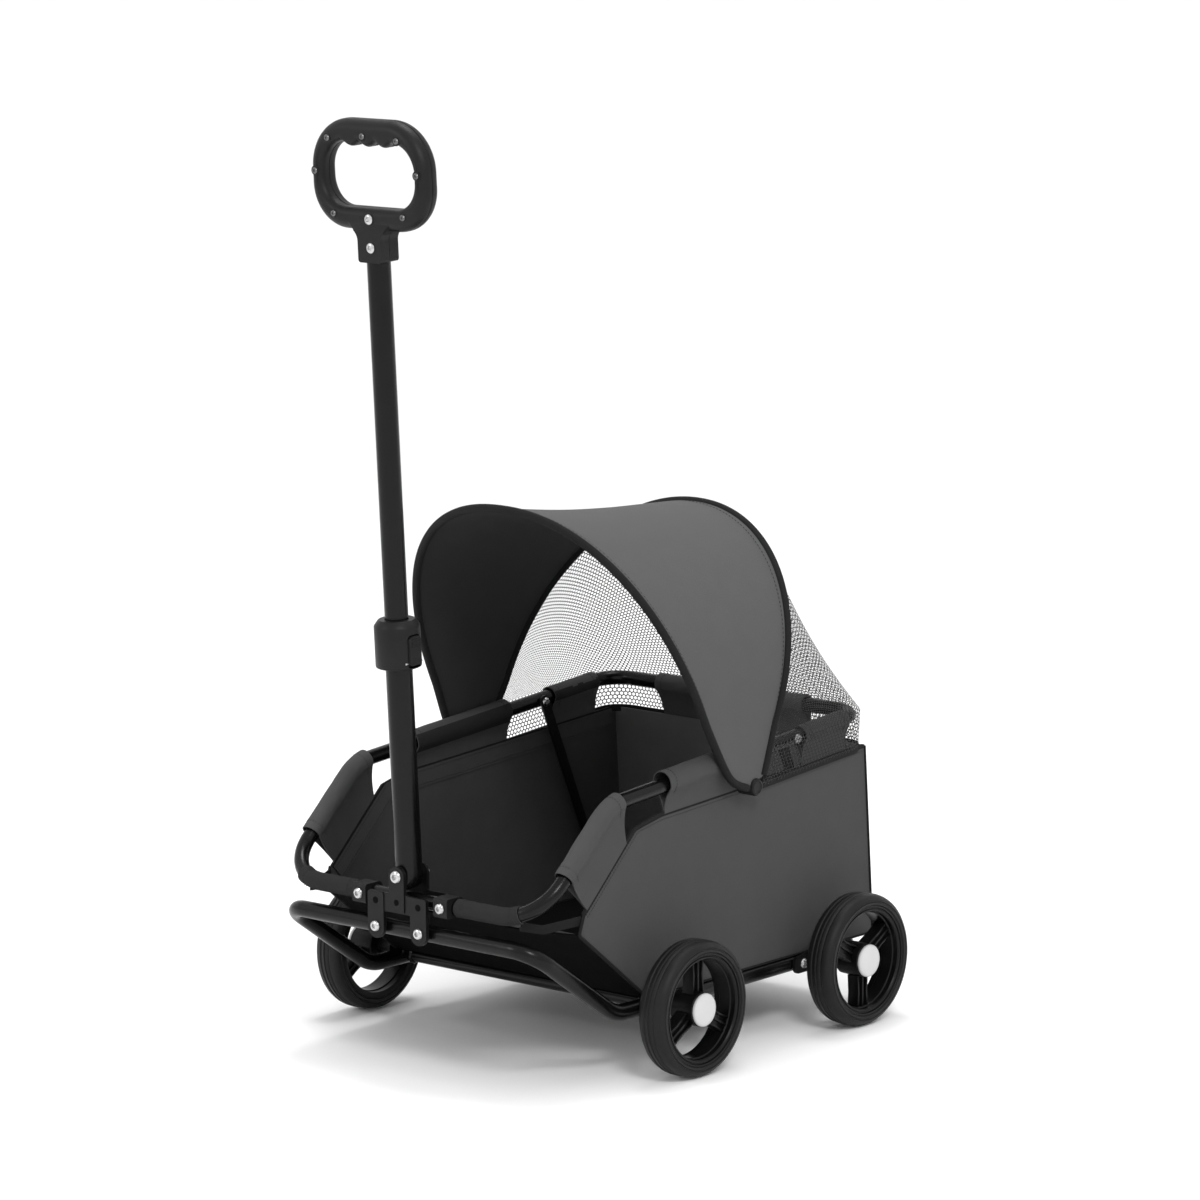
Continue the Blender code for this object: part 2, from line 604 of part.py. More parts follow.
def body_panels(cloth, board):
    side = side_outline()
    top_z = side[2][1]
    lean = BODY_REAR_LEAN / (top_z - FLOOR_Z)
    for name, sign in SIDES:
        low, high = sorted((sign * PANEL_X, sign * (PANEL_X + FABRIC)))
        add(f"side_panel_{name}", slab(f"side_panel_{name}", side, low, high, "X"), cloth)
    inside = PANEL_X - GAP
    reach = lean * FABRIC
    rear = [(BODY_REAR - FABRIC, FLOOR_Z), (BODY_REAR, FLOOR_Z), (BODY_REAR - BODY_REAR_LEAN, top_z),
            (BODY_REAR - BODY_REAR_LEAN - FABRIC, top_z - reach)]
    add("rear_panel", slab("rear_panel", rear, -inside, inside, "X"), cloth)
    foot, knee = Vector((FLOOR_FRONT, FLOOR_Z)), Vector(LOW_CORNER)
    lip = Vector((RIM_FRONT + SLEEVE_OUTER + 0.0033, RIM_FRONT_HEIGHT - SLEEVE_OUTER - 0.0020))
    thick = FABRIC * 1.25
    front = [foot, foot + Vector((thick * 1.3, 0)), knee + Vector((thick * 0.75, thick * 0.75)),
             lip + Vector((thick * 0.2, thick * 0.5)), lip + Vector((0, -thick * 0.5)), knee]
    panel = slab("front_panel", [tuple(p) for p in front], -inside, inside, "X")
    for vertex in panel.vertices:
        if vertex.co.z > (knee.y + lip.y) / 2:
            vertex.co.x *= FRONT_LIP_HALF_WIDTH / inside
    add("front_panel", panel, cloth)
    floor = [(FLOOR_FRONT + thick * 1.3 + GAP, FLOOR_Z), (BODY_REAR - FABRIC - GAP, FLOOR_Z),
             (BODY_REAR - FABRIC - 2 * GAP, FLOOR_Z + FABRIC), (FLOOR_FRONT + thick * 1.3 + GAP, FLOOR_Z + FABRIC)]
    add("floor_panel", slab("floor_panel", floor, -inside, inside, "X"), cloth)
    half = BODY_HALF_WIDTH - RIM_RADIUS - STAY_THICKNESS - 3 * GAP
    front_edge, rear_edge = FLOOR_FRONT + BOARD_MARGIN, BODY_REAR - BOARD_MARGIN
    sheet = rounded_outline([(-half, front_edge), (half, front_edge), (half, rear_edge), (-half, rear_edge)],
                            [BOARD_MARGIN] * 4)
    add("floor_board", slab("floor_board", sheet, BOARD_Z, BOARD_Z + BOARD, "Z"), board)


# ---- Canopy --------------------------------------------------------------------------------------------------
def bow_point(foot, tilt, x, reach):
    """A point on a bow's leaning plane, reach above its foot."""
    return Vector((x, foot[0] - reach * math.sin(tilt), foot[1] + reach * math.cos(tilt)))


def bow_curve(foot, tilt, height, shoulder, power, steps=22):
    """Upper part of a bow from left to right: a rounded arch on straight, slightly splayed legs."""
    half = CANOPY_HALF_WIDTH - 0.005
    curve = []
    for i in range(steps + 1):
        angle = math.pi * i / steps
        x = -half * math.copysign(abs(math.cos(angle)) ** (2 / power), math.cos(angle))
        reach = shoulder + (height - shoulder) * math.sin(angle) ** (2 / power)
        curve.append(bow_point(foot, tilt, x, reach))
    return curve


def evenly(points, count):
    """The same polyline with a given number of evenly spaced points."""
    lengths = [0.0]
    for a, b in zip(points, points[1:]):
        lengths.append(lengths[-1] + (b - a).length)
    result = []
    k = 0
    for i in range(count):
        target = lengths[-1] * i / (count - 1)
        while k < len(points) - 2 and lengths[k + 1] < target:
            k += 1
        span = lengths[k + 1] - lengths[k]
        result.append(points[k].lerp(points[k + 1], min(1.0, (target - lengths[k]) / span)))
    return result


def front_bow_path():
    """From the left canopy button up over the cabin to the right one, with a short leg swept back to each."""
    arch = bow_curve(FRONT_BOW_FOOT, FRONT_BOW_TILT, FRONT_BOW_HEIGHT, 0.085, 2.2)
    reach = BUTTON_RADIUS + BOW_RADIUS + GAP
    legs = []
    for sign in (-1, 1):
        x = sign * CANOPY_HALF_WIDTH
        legs.append([Vector((x, BUTTON_Y - reach, BUTTON_Z + 0.001)), Vector((x, BUTTON_Y - 0.030, BUTTON_Z + 0.007)),
                     bow_point(FRONT_BOW_FOOT, FRONT_BOW_TILT, x, 0.032)])
    return legs[0] + arch + legs[1][::-1]


def rear_bow_path():
    arch = bow_curve(REAR_BOW_FOOT, REAR_BOW_TILT, REAR_BOW_HEIGHT, 0.070, 2.05)
    foot = 0.0075 + BUTTON_RADIUS
    left = bow_point(REAR_BOW_FOOT, REAR_BOW_TILT, -CANOPY_HALF_WIDTH, foot)
    right = bow_point(REAR_BOW_FOOT, REAR_BOW_TILT, CANOPY_HALF_WIDTH, foot)
    return [left] + arch + [right]


def loft(name, rows, thickness):
    """A sheet through rows of points, thickened to one side of it."""
    bm = bmesh.new()
    grid = [[bm.verts.new(p) for p in row] for row in rows]
    for first, second in zip(grid, grid[1:]):
        for i in range(len(first) - 1):
            bm.faces.new((first[i], second[i], second[i + 1], first[i + 1]))
    bm.normal_update()
    inward = [-v.normal.copy() * thickness for row in grid for v in row]
    shell = [[bm.verts.new(v.co + inward[r * len(grid[0]) + c]) for c, v in enumerate(row)]
             for r, row in enumerate(grid)]
    for first, second in zip(shell, shell[1:]):
        for i in range(len(first) - 1):
            bm.faces.new((first[i], first[i + 1], second[i + 1], second[i]))
    edge = [(r, 0) for r in range(len(grid))] + [(len(grid) - 1, c) for c in range(1, len(grid[0]))]
    edge += [(r, len(grid[0]) - 1) for r in range(len(grid) - 2, -1, -1)]
    edge += [(0, c) for c in range(len(grid[0]) - 2, 0, -1)]
    for a, b in zip(edge, edge[1:] + edge[:1]):
        bm.faces.new((grid[a[0]][a[1]], grid[b[0]][b[1]], shell[b[0]][b[1]], shell[a[0]][a[1]]))
    return to_mesh(name, bm)


def between(first, second, clear_first, clear_second, rows):
    """Rows of points on the straight lines from one path to another, kept clear of both."""
    result = [[] for _ in range(rows)]
    for a, b in zip(first, second):
        span = (b - a).length
        start, end = clear_first / span, 1 - clear_second / span
        for i in range(rows):
            result[i].append(a.lerp(b, start + (end - start) * i / (rows - 1)))
    return result


def canopy(rod, cloth, mesh_cloth, snap):
    hinge = empty("canopy_hinge", (0, BUTTON_Y, BUTTON_Z))
    front, rear = front_bow_path(), rear_bow_path()
    bow = tube("front_bow", front, BOW_RADIUS, rod, sides=7)
    bow.data.transform(Matrix.Translation((0, -BUTTON_Y, -BUTTON_Z)))
    bow.parent = hinge
    tube("rear_bow", rear, BOW_RADIUS, rod, sides=7)
    clear = BOW_RADIUS + EDGE_CLEARANCE
    columns = 21
    front_even, rear_even = evenly(front, columns + 4)[2:-2], evenly(rear, columns + 4)[2:-2]
    rows = between(front_even, rear_even, clear, clear, 5)
    add("canopy_fabric", loft("canopy_fabric", rows, CANOPY_CLOTH), cloth)
    for side, sign in SIDES:
        inner, outer = BODY_HALF_WIDTH + FABRIC / 2 + GAP, CANOPY_HALF_WIDTH + BOW_RADIUS
        mesh = lathe(f"canopy_button_{side}", [(0, inner), (BUTTON_RADIUS, inner), (BUTTON_RADIUS, outer - 0.0012),
                                               (BUTTON_RADIUS - 0.0012, outer), (0, outer)], 20, "X")
        mesh.transform(Matrix.Diagonal((sign, 1, 1, 1)))
        if sign < 0:
            mesh.flip_normals()
        mesh.transform(Matrix.Translation((0, BUTTON_Y, BUTTON_Z)))
        add(f"canopy_button_{side}", mesh, snap)
    mesh_hood(rear, mesh_cloth)


def mesh_hood(rear, mesh_cloth):
    """Netting from the rear bow, over the outside of the rim, down to the top edge of the body cloth."""
    out = SLEEVE_OUTER + MESH_CLOTH + HEM_CLEARANCE
    wide, back = BODY_HALF_WIDTH + out, RIM_REAR + out
    hem_wide = BODY_HALF_WIDTH + FABRIC / 2 + MESH_CLOTH + HEM_CLEARANCE
    hem_back = BODY_REAR - BODY_REAR_LEAN + MESH_CLOTH + HEM_CLEARANCE
    radius = REAR_CORNER + out
    turn = Vector((wide - radius, back - radius))
    over, hem = [], []
    for x in (0.25 * turn.x, 0.65 * turn.x):
        over.append(Vector((x, back, RIM_REAR_Z)))
        hem.append(Vector((x, hem_back, RIM_REAR_Z - HEM_DROP)))
    for i in range(5):
        bend = turn + Vector((math.sin(math.pi * i / 8), math.cos(math.pi * i / 8))) * radius
        over.append(Vector((bend.x, bend.y, rim_height(min(bend.y, RIM_REAR)))))
        x = hem_wide - REAR_CORNER * max(0, 2 - i) / 2
        y = hem_back - REAR_CORNER * max(0, i - 2) / 2
        hem.append(Vector((x, y, rim_height(min(y, RIM_REAR)) - HEM_DROP)))
    for share in (0.33, 0.67, 1.0):
        y = turn.y + (HOOD_FRONT - turn.y) * share
        over.append(Vector((wide, y, rim_height(y))))
        hem.append(Vector((hem_wide, y, rim_height(y) - HEM_DROP)))
    over, hem = mirrored_path(over), mirrored_path(hem)
    behind = Vector((0, math.cos(REAR_BOW_TILT), math.sin(REAR_BOW_TILT))) * (BOW_RADIUS + EDGE_CLEARANCE)
    top = [p + behind for p in evenly(evenly(rear, 61)[7:-7], len(over))]
    lift = [p + Vector((0, 0, RIM_RADIUS * 0.5)) for p in over]
    rows = between(top, lift, 0.0, 0.0, 4) + [over, hem]
    add("mesh_hood", loft("mesh_hood", rows, MESH_CLOTH), mesh_cloth)


# ---- Front bracket -------------------------------------------------------------------------------------------
def bracket(steel, plastic, bolt_steel):
    half = BRACKET_LEG_WIDTH / 2
    left, right = BRACKET_LEG_X - half, BRACKET_LEG_X + half
    tab = BRACKET_TAB
    step = BRACKET_LEG_TOP - BRACKET_STEP
    corners = [(-right, BRACKET_LEG_BOTTOM), (-left, BRACKET_LEG_BOTTOM), (-left, step), (left, step),
               (left, BRACKET_LEG_BOTTOM), (right, BRACKET_LEG_BOTTOM), (right, BRACKET_LEG_TOP),
               (tab, BRACKET_LEG_TOP), (tab, POLE_BOLT_Z + tab), (-tab, POLE_BOLT_Z + tab),
               (-tab, BRACKET_LEG_TOP), (-right, BRACKET_LEG_TOP)]
    radii = [half * 0.98, half * 0.98, 0.002, 0.002, half * 0.98, half * 0.98, 0.002, 0.001,
             tab * 0.98, tab * 0.98, 0.001, 0.002]
    outline = rounded_outline(corners, radii)
    bolt_hole = cutter("pole_bolt_hole", bar_mesh("pole_bolt_hole", 0.0040 + GAP, 0.06, "Y"),
                       matrix=Matrix.Translation((0, POLE_BOLT_Y, POLE_BOLT_Z)))
    spare = cutter("spare_holes", bar_mesh("spare_holes", 0.0026, 0.06, "Y"),
                   matrix=Matrix.Translation((0, POLE_BOLT_Y, POLE_BOLT_Z - 0.0244)))
    back_corners = [(-right, BRACKET_BACK_BOTTOM), (right, BRACKET_BACK_BOTTOM), (right, BRACKET_LEG_TOP),
                    (tab, BRACKET_LEG_TOP), (tab, POLE_BOLT_Z + tab), (-tab, POLE_BOLT_Z + tab),
                    (-tab, BRACKET_LEG_TOP), (-right, BRACKET_LEG_TOP)]
    back_radii = [0.003, 0.003, 0.003, 0.001, tab * 0.98, tab * 0.98, 0.001, 0.003]
    near, far = BRACKET_GAP, BRACKET_GAP + PLATE
    for name, shape, low, high in (
            ("bracket_plate_front", outline, POLE_BOLT_Y - far, POLE_BOLT_Y - near),
            ("bracket_plate_back", rounded_outline(back_corners, back_radii), POLE_BOLT_Y + near,
             POLE_BOLT_Y + far)):
        plate = add(name, slab(name, shape, low, high, "Y"), steel)
        boolean(plate, bolt_hole)
        boolean(plate, spare)
    shank = lathe("pole_bolt", [
        (0, -far - 0.0030), (0.0052, -far - 0.0030), (0.0060, -far - 0.0022), (0.0060, -far - GAP),
        (0.0040, -far - GAP), (0.0040, far + GAP), (0.0068, far + GAP), (0.0068, far + 0.0045),
        (0, far + 0.0045)], 20, "Y")
    add("pole_bolt", shank, bolt_steel, matrix=Matrix.Translation((0, POLE_BOLT_Y, POLE_BOLT_Z)))
    bore = bar_mesh("clamp_bore", RIM_RADIUS + GAP, 2 * CLAMP_WIDTH, "X")
    for side, sign in SIDES:
        centre = Vector((sign * CLAMP_X, RIM_FRONT, RIM_FRONT_HEIGHT))
        hole = cutter(f"clamp_bore_{side}", bore, matrix=Matrix.Translation(centre))
        front, back = centre.y - CLAMP_FRONT, centre.y + CLAMP_BACK
        low, high = centre.z - CLAMP_WALL, centre.z + CLAMP_WALL
        outline = rounded_outline([(front, low), (back, low), (back, high), (front, high)],
                                  [0.003, 0.006, 0.006, 0.003])
        low, high = sorted((sign * (CLAMP_X - CLAMP_WIDTH / 2), sign * (CLAMP_X + CLAMP_WIDTH / 2)))
        clamp = add(f"rim_clamp_{side}", slab(f"rim_clamp_{side}", outline, low, high, "X"), plastic)
        boolean(clamp, hole)


# ---- Pole ----------------------------------------------------------------------------------------------------
def ring(name, inner, outer, low, high, segments=24):
    return lathe(name, [(inner, low), (outer, low), (outer, high), (inner, high)], segments)


def pole(steel, plastic, bolt_steel):
    base = empty("pole_hinge", (0, POLE_BOLT_Y, POLE_BOLT_Z), (POLE_LEAN, 0, 0))
    lower = ring("lower_tube", LOWER_TUBE_RADIUS - TUBE_WALL, LOWER_TUBE_RADIUS, -POLE_FOOT - 0.002, LOWER_TUBE_TOP)
    lower = add("lower_tube", lower, steel, base)
    boolean(lower, cutter("pole_foot_shape", pole_foot_cutter(), base))
    boolean(lower, cutter("pole_bolt_bore", bar_mesh("pole_bolt_bore", 0.0040 + RUNNING_GAP, 0.06, "Y"), base,
                          Matrix.Rotation(-POLE_LEAN, 4, "X")))
    tube_bore, slide_bore = LOWER_TUBE_RADIUS + GAP, UPPER_TUBE_RADIUS + RUNNING_GAP
    step = LOWER_TUBE_TOP + GAP
    collar = lathe("collar", [
        (tube_bore, COLLAR_BOTTOM), (COLLAR_RADIUS - 0.001, COLLAR_BOTTOM), (COLLAR_RADIUS, COLLAR_BOTTOM + 0.002),
        (COLLAR_RADIUS, COLLAR_TOP - 0.006), (COLLAR_RADIUS - 0.004, COLLAR_TOP), (slide_bore, COLLAR_TOP),
        (slide_bore, step), (tube_bore, step)], 24)
    collar = add("collar", collar, plastic, base)
    pin_x, pin_z = COLLAR_RADIUS - 0.0026, COLLAR_BOTTOM + 0.0060
    width = LATCH_WIDTH
    pocket = slab("latch_pocket", [(pin_x - 0.0042, pin_z - 0.0042), (COLLAR_RADIUS + 0.01, pin_z - 0.0042),
                                   (COLLAR_RADIUS + 0.01, pin_z + LATCH_HEIGHT + 0.001),
                                   (pin_x - 0.0042, pin_z + LATCH_HEIGHT + 0.001)],
                  -width / 2 - RUNNING_GAP, width / 2 + RUNNING_GAP, "Y")
    boolean(collar, cutter("latch_pocket", pocket, base))
    pin_place = Matrix.Translation((pin_x, 0, pin_z))
    boolean(collar, cutter("latch_pin_bore", bar_mesh("latch_pin_bore", 0.0014, 0.0230, "Y", 12), base, pin_place))
    add("latch_pin", bar_mesh("latch_pin", 0.0011, 0.0218, "Y", 12), bolt_steel, base, pin_place)
    hinge = empty("latch_hinge", (pin_x, 0, pin_z), parent=base)
    face, top = COLLAR_RADIUS + 0.0010 - pin_x, LATCH_HEIGHT
    outline = rounded_outline([(-0.0026, -0.0022), (face, -0.0022), (face, top - 0.0020), (face - 0.001, top),
                               (-0.0026, top)], [0.002, 0.0015, 0.0015, 0, 0])
    lever = add("latch_lever", slab("latch_lever", outline, -width / 2, width / 2, "Y",
                                    chamfer=0.0012, chamfer_low=True, chamfer_high=True), plastic, hinge)
    boolean(lever, cutter("lever_bore", bar_mesh("lever_bore", 0.0014, 0.04, "Y", 12), hinge))
    slide = empty("pole_slide", (0, 0, UPPER_TUBE_BOTTOM), parent=base)
    reach = UPPER_TUBE_TOP - UPPER_TUBE_BOTTOM
    upper = ring("upper_tube", UPPER_TUBE_RADIUS - TUBE_WALL, UPPER_TUBE_RADIUS, 0, reach)
    add("upper_tube", upper, steel, slide)
    grip(plastic, slide)


def pole_foot_cutter():
    """Everything below a half-round about the bolt, which rounds the pole's lower end as seen from the front."""
    r = POLE_FOOT
    arc = [(r * math.cos(a), r * math.sin(a)) for a in
           (math.radians(180 + 180 * i / 16) for i in range(17))]
    outline = arc + [(0.03, 0.0), (0.03, -0.03), (-0.03, -0.03), (-0.03, 0.0)]
    return slab("pole_foot_shape", outline, -0.03, 0.03, "Y")


def grip(plastic, slide):
    """Two moulded shells, screwed together round the top of the pole: a closed loop on a short neck."""
    middle = GRIP_CENTRE - UPPER_TUBE_BOTTOM
    half_w, half_h, neck = GRIP_WIDTH / 2, GRIP_HEIGHT / 2, GRIP_NECK_HALF_WIDTH
    neck_low = GRIP_NECK - UPPER_TUBE_BOTTOM
    low, high = middle - half_h, middle + half_h
    outline = rounded_outline([(-half_w, low), (-neck, low), (-neck, neck_low), (neck, neck_low), (neck, low),
                               (half_w, low), (half_w, high), (-half_w, high)],
                              [0.040, 0.008, 0.006, 0.006, 0.008, 0.040, 0.046, 0.046])
    opening = grip_opening(middle)
    inner = UPPER_TUBE_RADIUS + GAP
    socket = bar_mesh("grip_socket", inner, 2 * (UPPER_TUBE_TOP - GRIP_NECK) + 0.001, "Z", 24)
    bore = cutter("grip_socket", socket, slide, Matrix.Translation((0, 0, neck_low)))
    hole = cutter("grip_opening", slab("grip_opening", opening, -0.03, 0.03, "Y"), slide)
    for name, sign in (("grip_front_shell", -1), ("grip_back_shell", 1)):
        low_y, high_y = sorted((sign * GAP / 2, sign * GRIP_DEPTH / 2))
        shell = slab(name, outline, low_y, high_y, "Y", chamfer=0.0035,
                     chamfer_low=sign < 0, chamfer_high=sign > 0)
        shell = add(name, shell, plastic, slide)
        boolean(shell, hole)
        boolean(shell, bore)


def grip_opening(middle):
    """The hand opening: round ends, a flat bottom and a top edge with three finger dips between four rises."""
    half_w, low = GRIP_WIDTH / 2 - GRIP_LIMB, middle - GRIP_HEIGHT / 2 + GRIP_BAR
    high = middle + GRIP_HEIGHT / 2 - GRIP_BAR
    corners = [(-half_w, low), (half_w, low), (half_w, high), (-half_w, high)]
    outline = rounded_outline(corners, [0.026, 0.026, 0.027, 0.027])
    reach = 1.5 * FINGER_PITCH
    result = [p for p in outline if not (abs(p[0]) < reach + 0.001 and p[1] > middle)]
    split = max(i for i, p in enumerate(result) if p[0] > 0 and p[1] > middle) + 1
    dips = []
    steps = 12
    for i in range(steps + 1):
        x = reach - 2 * reach * i / steps
        dips.append((x, high - FINGER_DEPTH * abs(math.cos(math.pi * x / FINGER_PITCH)) ** 1.5 + 0.0005))
    return result[:split] + dips + result[split:]


# ---- Assembly ------------------------------------------------------------------------------------------------
def clear_scene():
    for old in list(bpy.data.objects):
        bpy.data.objects.remove(old)


def build():
    clear_scene()
    steel = material("painted_tube", (0.012, 0.012, 0.013), 0.28, 0.0)
    plate_steel = material("painted_plate", (0.015, 0.015, 0.016), 0.42, 0.0)
    plastic = material("black_plastic", (0.014, 0.014, 0.015), 0.45)
    rubber = material("tyre_rubber", (0.010, 0.010, 0.010), 0.72)
    cap_plastic = material("light_cap", (0.80, 0.80, 0.80), 0.35)
    cloth = material("body_cloth", (0.075, 0.075, 0.078), 0.85)
    canopy_cloth = material("canopy_cloth", (0.11, 0.11, 0.112), 0.80)
    netting = material("netting", (0.020, 0.020, 0.020), 0.70)
    rod = material("bow_binding", (0.010, 0.010, 0.010), 0.75)
    board = material("floor_mat", (0.045, 0.045, 0.047), 0.85)
    bolt_steel = material("bolt_steel", (0.75, 0.75, 0.74), 0.25, 1.0)

    undercarriage(steel)
    for end, y, spoke_angles in (("front", -WHEELBASE / 2, (0.0, math.pi)), ("rear", WHEELBASE / 2, (math.pi, 0.0))):
        for (side, sign), spoke_angle in zip(SIDES, spoke_angles):
            axle(f"axle_{end}_{side}", sign, y, plate_steel)
            wheel(f"{end}_{side}", sign, y, plastic, rubber, cap_plastic, spoke_angle)
    rim_tubes(steel)
    for side, sign in SIDES:
        stay(side, sign, steel)
    sleeves(cloth)
    body_panels(cloth, board)
    canopy(rod, canopy_cloth, netting, plastic)
    bracket(plate_steel, plastic, bolt_steel)
    pole(steel, plastic, bolt_steel)
    stroller = empty("stroller", (0, ORIGIN_BEHIND_GRIP, 0))
    for part in list(bpy.data.objects):
        if part.parent is None and part != stroller:
            part.parent = stroller


build()
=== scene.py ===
"""The looks of a small pull-along pet stroller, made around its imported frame.

The pieces are laid out from a point on the ground midway between the two axles, and each is then moved to the
frame's own place. +X is the stroller's right side, -Y its front, +Z up, and all sizes are in metres.
"""
import math

import bmesh
import bpy
from mathutils import Matrix, Vector, noise


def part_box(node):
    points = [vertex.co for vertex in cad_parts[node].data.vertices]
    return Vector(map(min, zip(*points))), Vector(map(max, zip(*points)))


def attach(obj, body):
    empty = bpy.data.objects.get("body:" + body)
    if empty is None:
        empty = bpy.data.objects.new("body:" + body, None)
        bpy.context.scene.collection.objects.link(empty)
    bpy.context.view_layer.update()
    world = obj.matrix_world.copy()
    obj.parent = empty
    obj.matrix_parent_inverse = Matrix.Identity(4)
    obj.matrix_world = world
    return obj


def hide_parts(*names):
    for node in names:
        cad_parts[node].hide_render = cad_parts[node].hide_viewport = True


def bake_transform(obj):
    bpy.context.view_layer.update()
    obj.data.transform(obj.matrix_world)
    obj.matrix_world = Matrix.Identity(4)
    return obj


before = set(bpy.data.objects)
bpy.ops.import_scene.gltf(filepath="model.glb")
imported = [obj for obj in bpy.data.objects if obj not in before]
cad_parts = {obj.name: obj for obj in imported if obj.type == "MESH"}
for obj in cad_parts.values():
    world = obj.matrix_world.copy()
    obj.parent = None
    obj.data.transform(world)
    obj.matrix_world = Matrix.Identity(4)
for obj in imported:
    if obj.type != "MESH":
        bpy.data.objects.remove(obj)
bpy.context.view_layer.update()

bl_info = {
    "name": "Pet stroller looks",
    "version": (1, 0, 0),
    "blender": (4, 5, 0),
    "location": "View3D > Sidebar > Stroller",
    "description": "Builds the visible pieces of a pull-along pet stroller around its frame",
    "category": "Object",
}

# ---- Places taken from the frame -------------------------------------------------------------------------
def node_middle(name):
    low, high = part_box(name)
    return (low + high) / 2


AXLES_MIDDLE = (node_middle("tyre_front_right").y + node_middle("tyre_rear_right").y) / 2
PLACE = Matrix.Translation((0, AXLES_MIDDLE, 0))
SIDES = (("left", -1), ("right", 1))

# ---- Sizes of the frame that the looks follow ------------------------------------------------------------
WHEEL_RADIUS, WHEEL_WIDTH, HALF_WHEELBASE, WHEEL_X = 0.065, 0.031, 0.1244, 0.2063
TYRE_WALL, RIM_WALL, HUB_RADIUS, CAP_RADIUS = 0.0115, 0.0060, 0.0165, 0.0158
RAIL_RADIUS, RAIL_X, RAIL_Z, RAIL_REAR = 0.0080, 0.1560, 0.0610, 0.1900
BUMPER_Y, BUMPER_Z, ARM_FOOT = -0.2915, 0.1400, -0.1780
CROSS_RADIUS, PLATE, PLATE_X, AXLE_RADIUS = 0.0060, 0.0030, 0.1643, 0.0040
RIM_X, RIM_RADIUS, RIM_FRONT, RIM_FRONT_Z, RIM_REAR = 0.1600, 0.0072, -0.2890, 0.1690, 0.1870
SLOPE_RUN, SLOPE_RISE, RIM_RISE = 0.1020, 0.0930, 0.0300
FRONT_CORNER, SLOPE_BEND, REAR_CORNER = 0.045, 0.060, 0.028
SLOPE_TOP = (RIM_FRONT + SLOPE_RUN, RIM_FRONT_Z + SLOPE_RISE)
RAIL_JOINT, RIM_SPLIT, STAY_TOP, STAY_FOOT = 0.150, -0.0600, 0.0750, 0.1660
SLOPE_SLEEVE, SIDE_SLEEVE = (0.0500, 0.1480), (-0.1120, 0.0250)
CORNER_SLEEVE_FRONT, REAR_SLEEVE_HALF = 0.092, 0.094
FRONT_LIP = 0.1330
RIM_REAR_Z = SLOPE_TOP[1] + RIM_RISE
FLOOR_Z, BOARD_Z, BOARD = 0.0693, 0.0712, 0.0050
FLOOR_FRONT, BODY_REAR, REAR_LEAN = -0.1360, 0.2065, 0.0125
PANEL_DROP, PANEL_DROP_FRONT, PANEL_X = 0.0330, 0.0240, 0.1608
LOW_CORNER, LIP = (-0.2330, 0.1470), (-0.2765, 0.1578)
EDGE_SHOULDER, EDGE_BEND, EDGE_NOSE = -0.115, (-0.153, 0.2345), -0.226
BUTTON = (0.0050, 0.2500)
CANOPY_X = 0.1765
FRONT_BOW = {"foot": (-0.0250, 0.2400), "tilt": math.radians(25), "height": 0.3080, "shoulder": 0.085,
             "power": 2.2}
REAR_BOW = {"foot": (0.0100, 0.2450), "tilt": math.radians(-26), "height": 0.2750, "shoulder": 0.070,
            "power": 2.05}
HOOD_FRONT, HEM_DROP = 0.0300, 0.0370
POLE_BOLT, POLE_LEAN = Vector((0, -0.2880, 0.1923)), math.radians(2.93)
LOWER_TUBE, UPPER_TUBE, COLLAR_RADIUS = 0.0125, 0.0110, 0.0215
LOWER_TOP, COLLAR_LOW, COLLAR_TOP, UPPER_LOW, UPPER_TOP = 0.2360, 0.1980, 0.2430, 0.1950, 0.6100
GRIP_NECK, GRIP_MIDDLE, GRIP_WIDTH, GRIP_HEIGHT, GRIP_DEPTH = 0.5750, 0.6545, 0.1420, 0.1010, 0.0240
GRIP_LIMB, GRIP_BAR, FINGER_PITCH = 0.0150, 0.0205, 0.0200
CLAMP_X, CLAMP_WIDTH, BRACKET_GAP = 0.0514, 0.0170, 0.0140
LEG_X, LEG_WIDTH, LEG_LOW, LEG_TOP, BACK_LOW = 0.0268, 0.0200, 0.1305, 0.1755, 0.1620
CAMERA_PLACE, CAMERA_ROLL, CAMERA_LENS = (3.2751, -3.7381, 1.2795), math.radians(-0.42), 158.55
FINISH = {}


# ---- Shader maths ----------------------------------------------------------------------------------------
class Field:
    """A number or colour that varies over a surface, with Python's arithmetic on numbers."""

    def __init__(self, graph, socket):
        self.graph, self.socket = graph, socket

    def maths(self, operation, *values):
        return self.graph.node("Math", {"operation": operation}, dict(enumerate(values)))

    def __add__(self, other):
        return self.maths("ADD", self, other)

    __radd__ = __add__

    def __sub__(self, other):
        return self.maths("SUBTRACT", self, other)

    def __rsub__(self, other):
        return self.maths("SUBTRACT", other, self)

    def __mul__(self, other):
        return self.maths("MULTIPLY", self, other)

    def __truediv__(self, other):
        return self.maths("DIVIDE", self, other)

    def __mod__(self, other):
        return self.maths("FLOORED_MODULO", self, other)

    def __abs__(self):
        return self.maths("ABSOLUTE", self)

    def __gt__(self, other):
        return self.maths("GREATER_THAN", self, other)

    def least(self, other):
        return self.maths("MINIMUM", self, other)

    def most(self, other):
        return self.maths("MAXIMUM", self, other)

    def root(self):
        return self.maths("SQRT", self)

    def sine(self):
        return self.maths("SINE", self)


